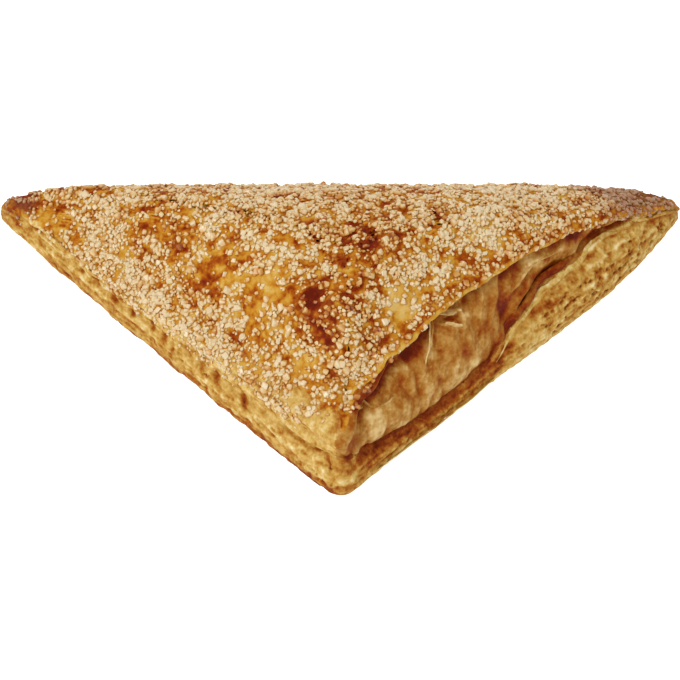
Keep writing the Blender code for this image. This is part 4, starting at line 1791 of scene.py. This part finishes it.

# The shut left side: a row of torn cells, a smooth rib near the square corner, a few open layers; grooves
# painted darker, partly browning and partly painted shade
LEFT_CREASES = (
    Crease(((-0.584, 7.4), (-0.578, 6.2)), -0.35, 0.8, 0.38),
    Crease(((-0.530, 7.8), (-0.524, 6.4)), -0.4, 0.9, 0.42),
    Crease(((-0.492, 7.3), (-0.486, 5.8)), -0.4, 0.9, 0.42),
    Crease(((-0.468, 6.8), (-0.462, 5.6)), -0.35, 0.7, 0.38),
    Crease(((-0.430, 8.8), (-0.422, 7.6)), -0.3, 0.8, 0.35),
    Crease(((-0.388, 7.0), (-0.382, 6.2)), -0.3, 0.7, 0.32),
    Crease(((-0.348, 7.6), (-0.338, 6.0)), -0.5, 1.1, 0.48),
    Crease(((-0.305, 8.0), (-0.299, 7.2)), -0.3, 0.7, 0.29),
    Crease(((-0.274, 7.0), (-0.260, 5.6)), -0.45, 0.9, 0.45),
    Crease(((-0.640, 7.8), (-0.632, 6.6)), -0.35, 0.8, 0.35),
    Crease(((-0.690, 7.8), (-0.684, 6.9)), -0.3, 0.7, 0.32),
    Crease(((-0.740, 7.4), (-0.734, 6.6)), -0.3, 0.6, 0.29),
    Crease(
        ((-0.225, 12.4), (-0.196, 11.4), (-0.150, 9.8), (-0.100, 9.2), (-0.050, 9.4)),
        0.8, 1.8, -0.02, 2.6,
    ),
    Crease(((-0.230, 9.8), (-0.194, 8.6), (-0.148, 6.5), (-0.088, 6.3), (-0.046, 6.7)), -0.8, 0.5, 0.30),
    Crease(
        ((-0.240, 14.0), (-0.196, 13.9), (-0.168, 13.3), (-0.116, 12.2), (-0.058, 12.1)),
        -0.7, 0.40, 0.26,
    ),
    Crease(((-0.230, 11.6), (-0.180, 10.6), (-0.120, 9.6)), -0.25, 0.35, 0.14),
    Crease(((-0.032, 6.8), (-0.028, 5.7), (-0.024, 4.9)), -0.5, 0.4, 0.22),
    Crease(((-0.150, 5.4), (-0.100, 5.2), (-0.050, 5.0)), 0.4, 1.2, -0.14),
    Crease(((-0.860, 13.4), (-0.790, 13.2), (-0.740, 12.9), (-0.690, 12.2)), -0.5, 0.35, 0.28),
    Crease(((-0.780, 12.2), (-0.735, 12.0), (-0.690, 11.6)), -0.5, 0.35, 0.26),
    Crease(((-0.770, 11.0), (-0.730, 10.6), (-0.690, 10.2)), -0.5, 0.35, 0.22),
    Crease(((-0.620, 12.6), (-0.560, 12.2), (-0.500, 12.4), (-0.440, 12.2)), -0.4, 0.4, 0.22),
    Crease(((-0.420, 11.6), (-0.360, 11.3), (-0.300, 11.5)), -0.4, 0.4, 0.20),
    Crease(((-0.962, 12.7), (-0.956, 11.0)), -0.3, 2.0, 0.42),
)


# Thin leaves that stand off the crust: along the rim, round the torn pocket and on the cut faces
LEAVES = (
    Leaf("upper_rim_leaf",
         ((0.02, 15.0, -0.2), (0.16, 15.0, -0.2), (0.27, 14.2, -0.2), (0.36, 13.8, -0.2), (0.50, 13.8, -0.2),
          (0.66, 13.8, -0.2), (0.83, 13.6, -0.2)),
         ((0.02, 14.6, 0.1), (0.16, 14.5, 0.2), (0.27, 13.2, 0.3), (0.36, 12.4, 0.3), (0.50, 12.4, 0.3),
          (0.66, 12.4, 0.3), (0.83, 12.6, 0.2)),
         BAKED_SKIN, 0.34, ragged=0.3),
    Leaf("standing_fold",
         ((0.345, 11.6, -0.3), (0.330, 10.6, -0.3), (0.309, 10.25, -0.3), (0.287, 10.0, -0.3),
          (0.268, 9.6, -0.3)),
         ((0.338, 11.6, 0.7), (0.320, 10.6, 1.2), (0.300, 10.2, 1.1), (0.281, 9.95, 0.6), (0.265, 9.5, 0.0)),
         STRETCHED_WEB, 0.14, thick=0.34),
    Leaf("torn_pocket_upper_edge",
         ((0.342, 10.95, -0.3), (0.366, 10.65, -0.3), (0.392, 10.45, -0.3)),
         ((0.344, 10.7, 0.7), (0.367, 10.45, 1.0), (0.394, 10.3, 0.7)),
         STRETCHED_WEB, 0.14, thick=0.28),
    Leaf("torn_pocket_lower_edge",
         ((0.345, 10.35, -0.3), (0.366, 10.1, -0.3), (0.388, 9.85, -0.3)),
         ((0.347, 10.45, 0.7), (0.368, 10.22, 1.0), (0.391, 9.97, 0.7)),
         STRETCHED_WEB, 0.14, thick=0.28),
    Leaf("inner_leaf_edge",
         ((0.512, 9.5, -0.3), (0.546, 9.9, -0.3), (0.580, 10.1, -0.3), (0.615, 10.05, -0.3),
          (0.660, 9.8, -0.3)),
         ((0.515, 9.4, 0.2), (0.548, 9.75, 0.3), (0.582, 9.95, 0.4), (0.617, 9.9, 0.3), (0.660, 9.7, 0.1)),
         STRETCHED_WEB, 0.26, ragged=0.15),
    Leaf("thick_leaf_top_edge",
         ((0.43, 6.0, -0.3), (0.50, 6.0, -0.3), (0.55, 6.1, -0.3), (0.606, 5.8, -0.3), (0.66, 6.0, -0.3),
          (0.71, 5.9, -0.3), (0.79, 5.8, -0.3), (0.84, 5.6, -0.3)),
         ((0.43, 6.3, 0.2), (0.50, 6.3, 0.4), (0.55, 6.4, 0.5), (0.606, 6.1, 0.4), (0.66, 6.3, 0.5),
          (0.71, 6.2, 0.4), (0.79, 6.1, 0.4), (0.84, 5.8, 0.2)),
         CUT_CRUMB, 0.30),
    Leaf("corner_leaf",
         ((-0.012, 9.3, -0.3), (0.004, 8.2, -0.3), (0.022, 7.4, -0.2), (0.045, 7.1, -0.2),
          (0.085, 7.2, -0.3)),
         ((-0.008, 8.7, 0.4), (0.010, 7.4, 0.9), (0.028, 6.6, 0.9), (0.048, 6.3, 0.8), (0.080, 6.4, 0.3)),
         CUT_CRUMB, 0.28),
    Leaf("flap_edge",
         ((0.205, 9.5, -0.3), (0.174, 9.6, -0.3), (0.134, 10.0, -0.3), (0.105, 11.6, -0.3),
          (0.088, 13.2, -0.3)),
         ((0.205, 9.7, 0.2), (0.174, 9.8, 0.3), (0.134, 10.3, 0.3), (0.107, 12.0, 0.3), (0.090, 13.6, 0.1)),
         STRETCHED_WEB, 0.34),
    Leaf("thin_leaf_under_groove",
         ((0.06, 3.6, -0.2), (0.15, 3.8, -0.2), (0.25, 3.9, -0.2), (0.35, 3.9, -0.2), (0.45, 4.1, -0.2)),
         ((0.06, 4.2, 0.3), (0.15, 4.4, 0.5), (0.25, 4.5, 0.6), (0.35, 4.5, 0.6), (0.45, 4.8, 0.3)),
         CUT_CRUMB, 0.25, ragged=0.5),
    Leaf("left_shoulder_leaf",
         ((-0.86, 13.2, -0.2), (-0.80, 13.0, -0.2), (-0.74, 12.6, -0.2), (-0.66, 12.0, -0.2)),
         ((-0.86, 12.6, 0.3), (-0.80, 12.3, 0.6), (-0.74, 11.8, 0.6), (-0.66, 11.4, 0.2)),
         CUT_CRUMB, 0.30),
)


SUGARS = (
    Sugar("coarse_sugar", 1650, 0.95, 1.5, 1.15, 0.64, SEED, low=10.0),
    Sugar("middle_sugar", 3800, 0.72, 1.0, 0.88, 0.64, SEED + 1, low=8.5),
    Sugar("fine_sugar", 1100, 0.42, 0.66, 0.55, 0.72, SEED + 2, low=5.5, crowd=0.8),
)


def sugar_wanted(crust: Crust, sugar: Sugar) -> np.ndarray:
    """How much of a sugar each point of the crust wants.

    Args:
        crust: the finished crust.
        sugar: which kind.

    Returns:
        One share for each point, from 0 to 1, or more where it crowds.
    """
    mesh = crust.obj.data
    at, out = read_points(mesh), read_normals(mesh)
    level, along, fold = (get_values(mesh, n) for n in ("level", "along", "fold"))
    leg, side = 1 - fold, eased(-0.03, 0.03, along)
    end = rim_low(along)
    right_edge = eased(end - 0.6, end + 0.5, level + 0.5 * noise_at(at, 3 * MM, 24))
    ragged = level + 1.6 * noise_at(at, 4 * MM, 23)
    left_edge = eased(sugar.low, Ring.RIM + 0.4, ragged)
    share = leg * (side * right_edge + (1 - side) * left_edge)
    share += fold * eased(Ring.WEB_LOW, Ring.RIM_LOW, level)
    uneven = 0.7 * noise_at(at, 3.0 * MM, 2)
    more = [spot.sugar * spot.reach(at, uneven) for spot in crust.spots]
    thick = np.clip(0.48 + 0.42 * noise_at(at, 6 * MM, 21) + sum(more), 0.06, 1.0)
    wiped = sum(less for less, spot in zip(more, crust.spots) if spot.sugar < WIPED)
    bare = np.clip(1.0 + wiped, 0.0, 1.0)
    share *= thick * (1 - (0.98 - 0.10 * thick) * sugar_gaps(at))
    share *= eased(82.0, 77.0, at[:, 0] / MM)  # the very tip is bare
    shoulder = leg * (1 - side) * eased(-0.85, -0.6, along) * eased(-0.24, -0.36, along)
    shoulder *= eased(Ring.WEB_FOOT, Ring.RIM_LOW, ragged)
    share += sugar.crowd * shoulder * eased(Ring.SHOULDER + 3.0, Ring.SHOULDER, level)
    return np.clip(share, 0.0, 1.0 + sugar.crowd) * bare * (out[:, 2] > -0.2)


def main() -> None:
    """Builds the pastry in order."""
    logging.basicConfig(level=logging.INFO, format="%(message)s")
    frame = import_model()
    crust = Crust(spots=TOP_SPOTS, creases=RIGHT_CREASES + LEFT_CREASES)
    crust.build(frame["nodes"][NODE])
    log.info("%s: %d faces", crust.obj.name, len(crust.obj.data.polygons))

    for leaf in LEAVES:
        leaf.build(crust.skin)
        log.info("%s", leaf.name)

    bake = get_values(crust.obj.data, "bake")
    taken: list[np.ndarray] = []
    for sugar in SUGARS:
        sugar.scatter(crust.obj, sugar_wanted(crust, sugar), taken, bake)

    Studio().build()


if __name__ == "__main__":
    main()
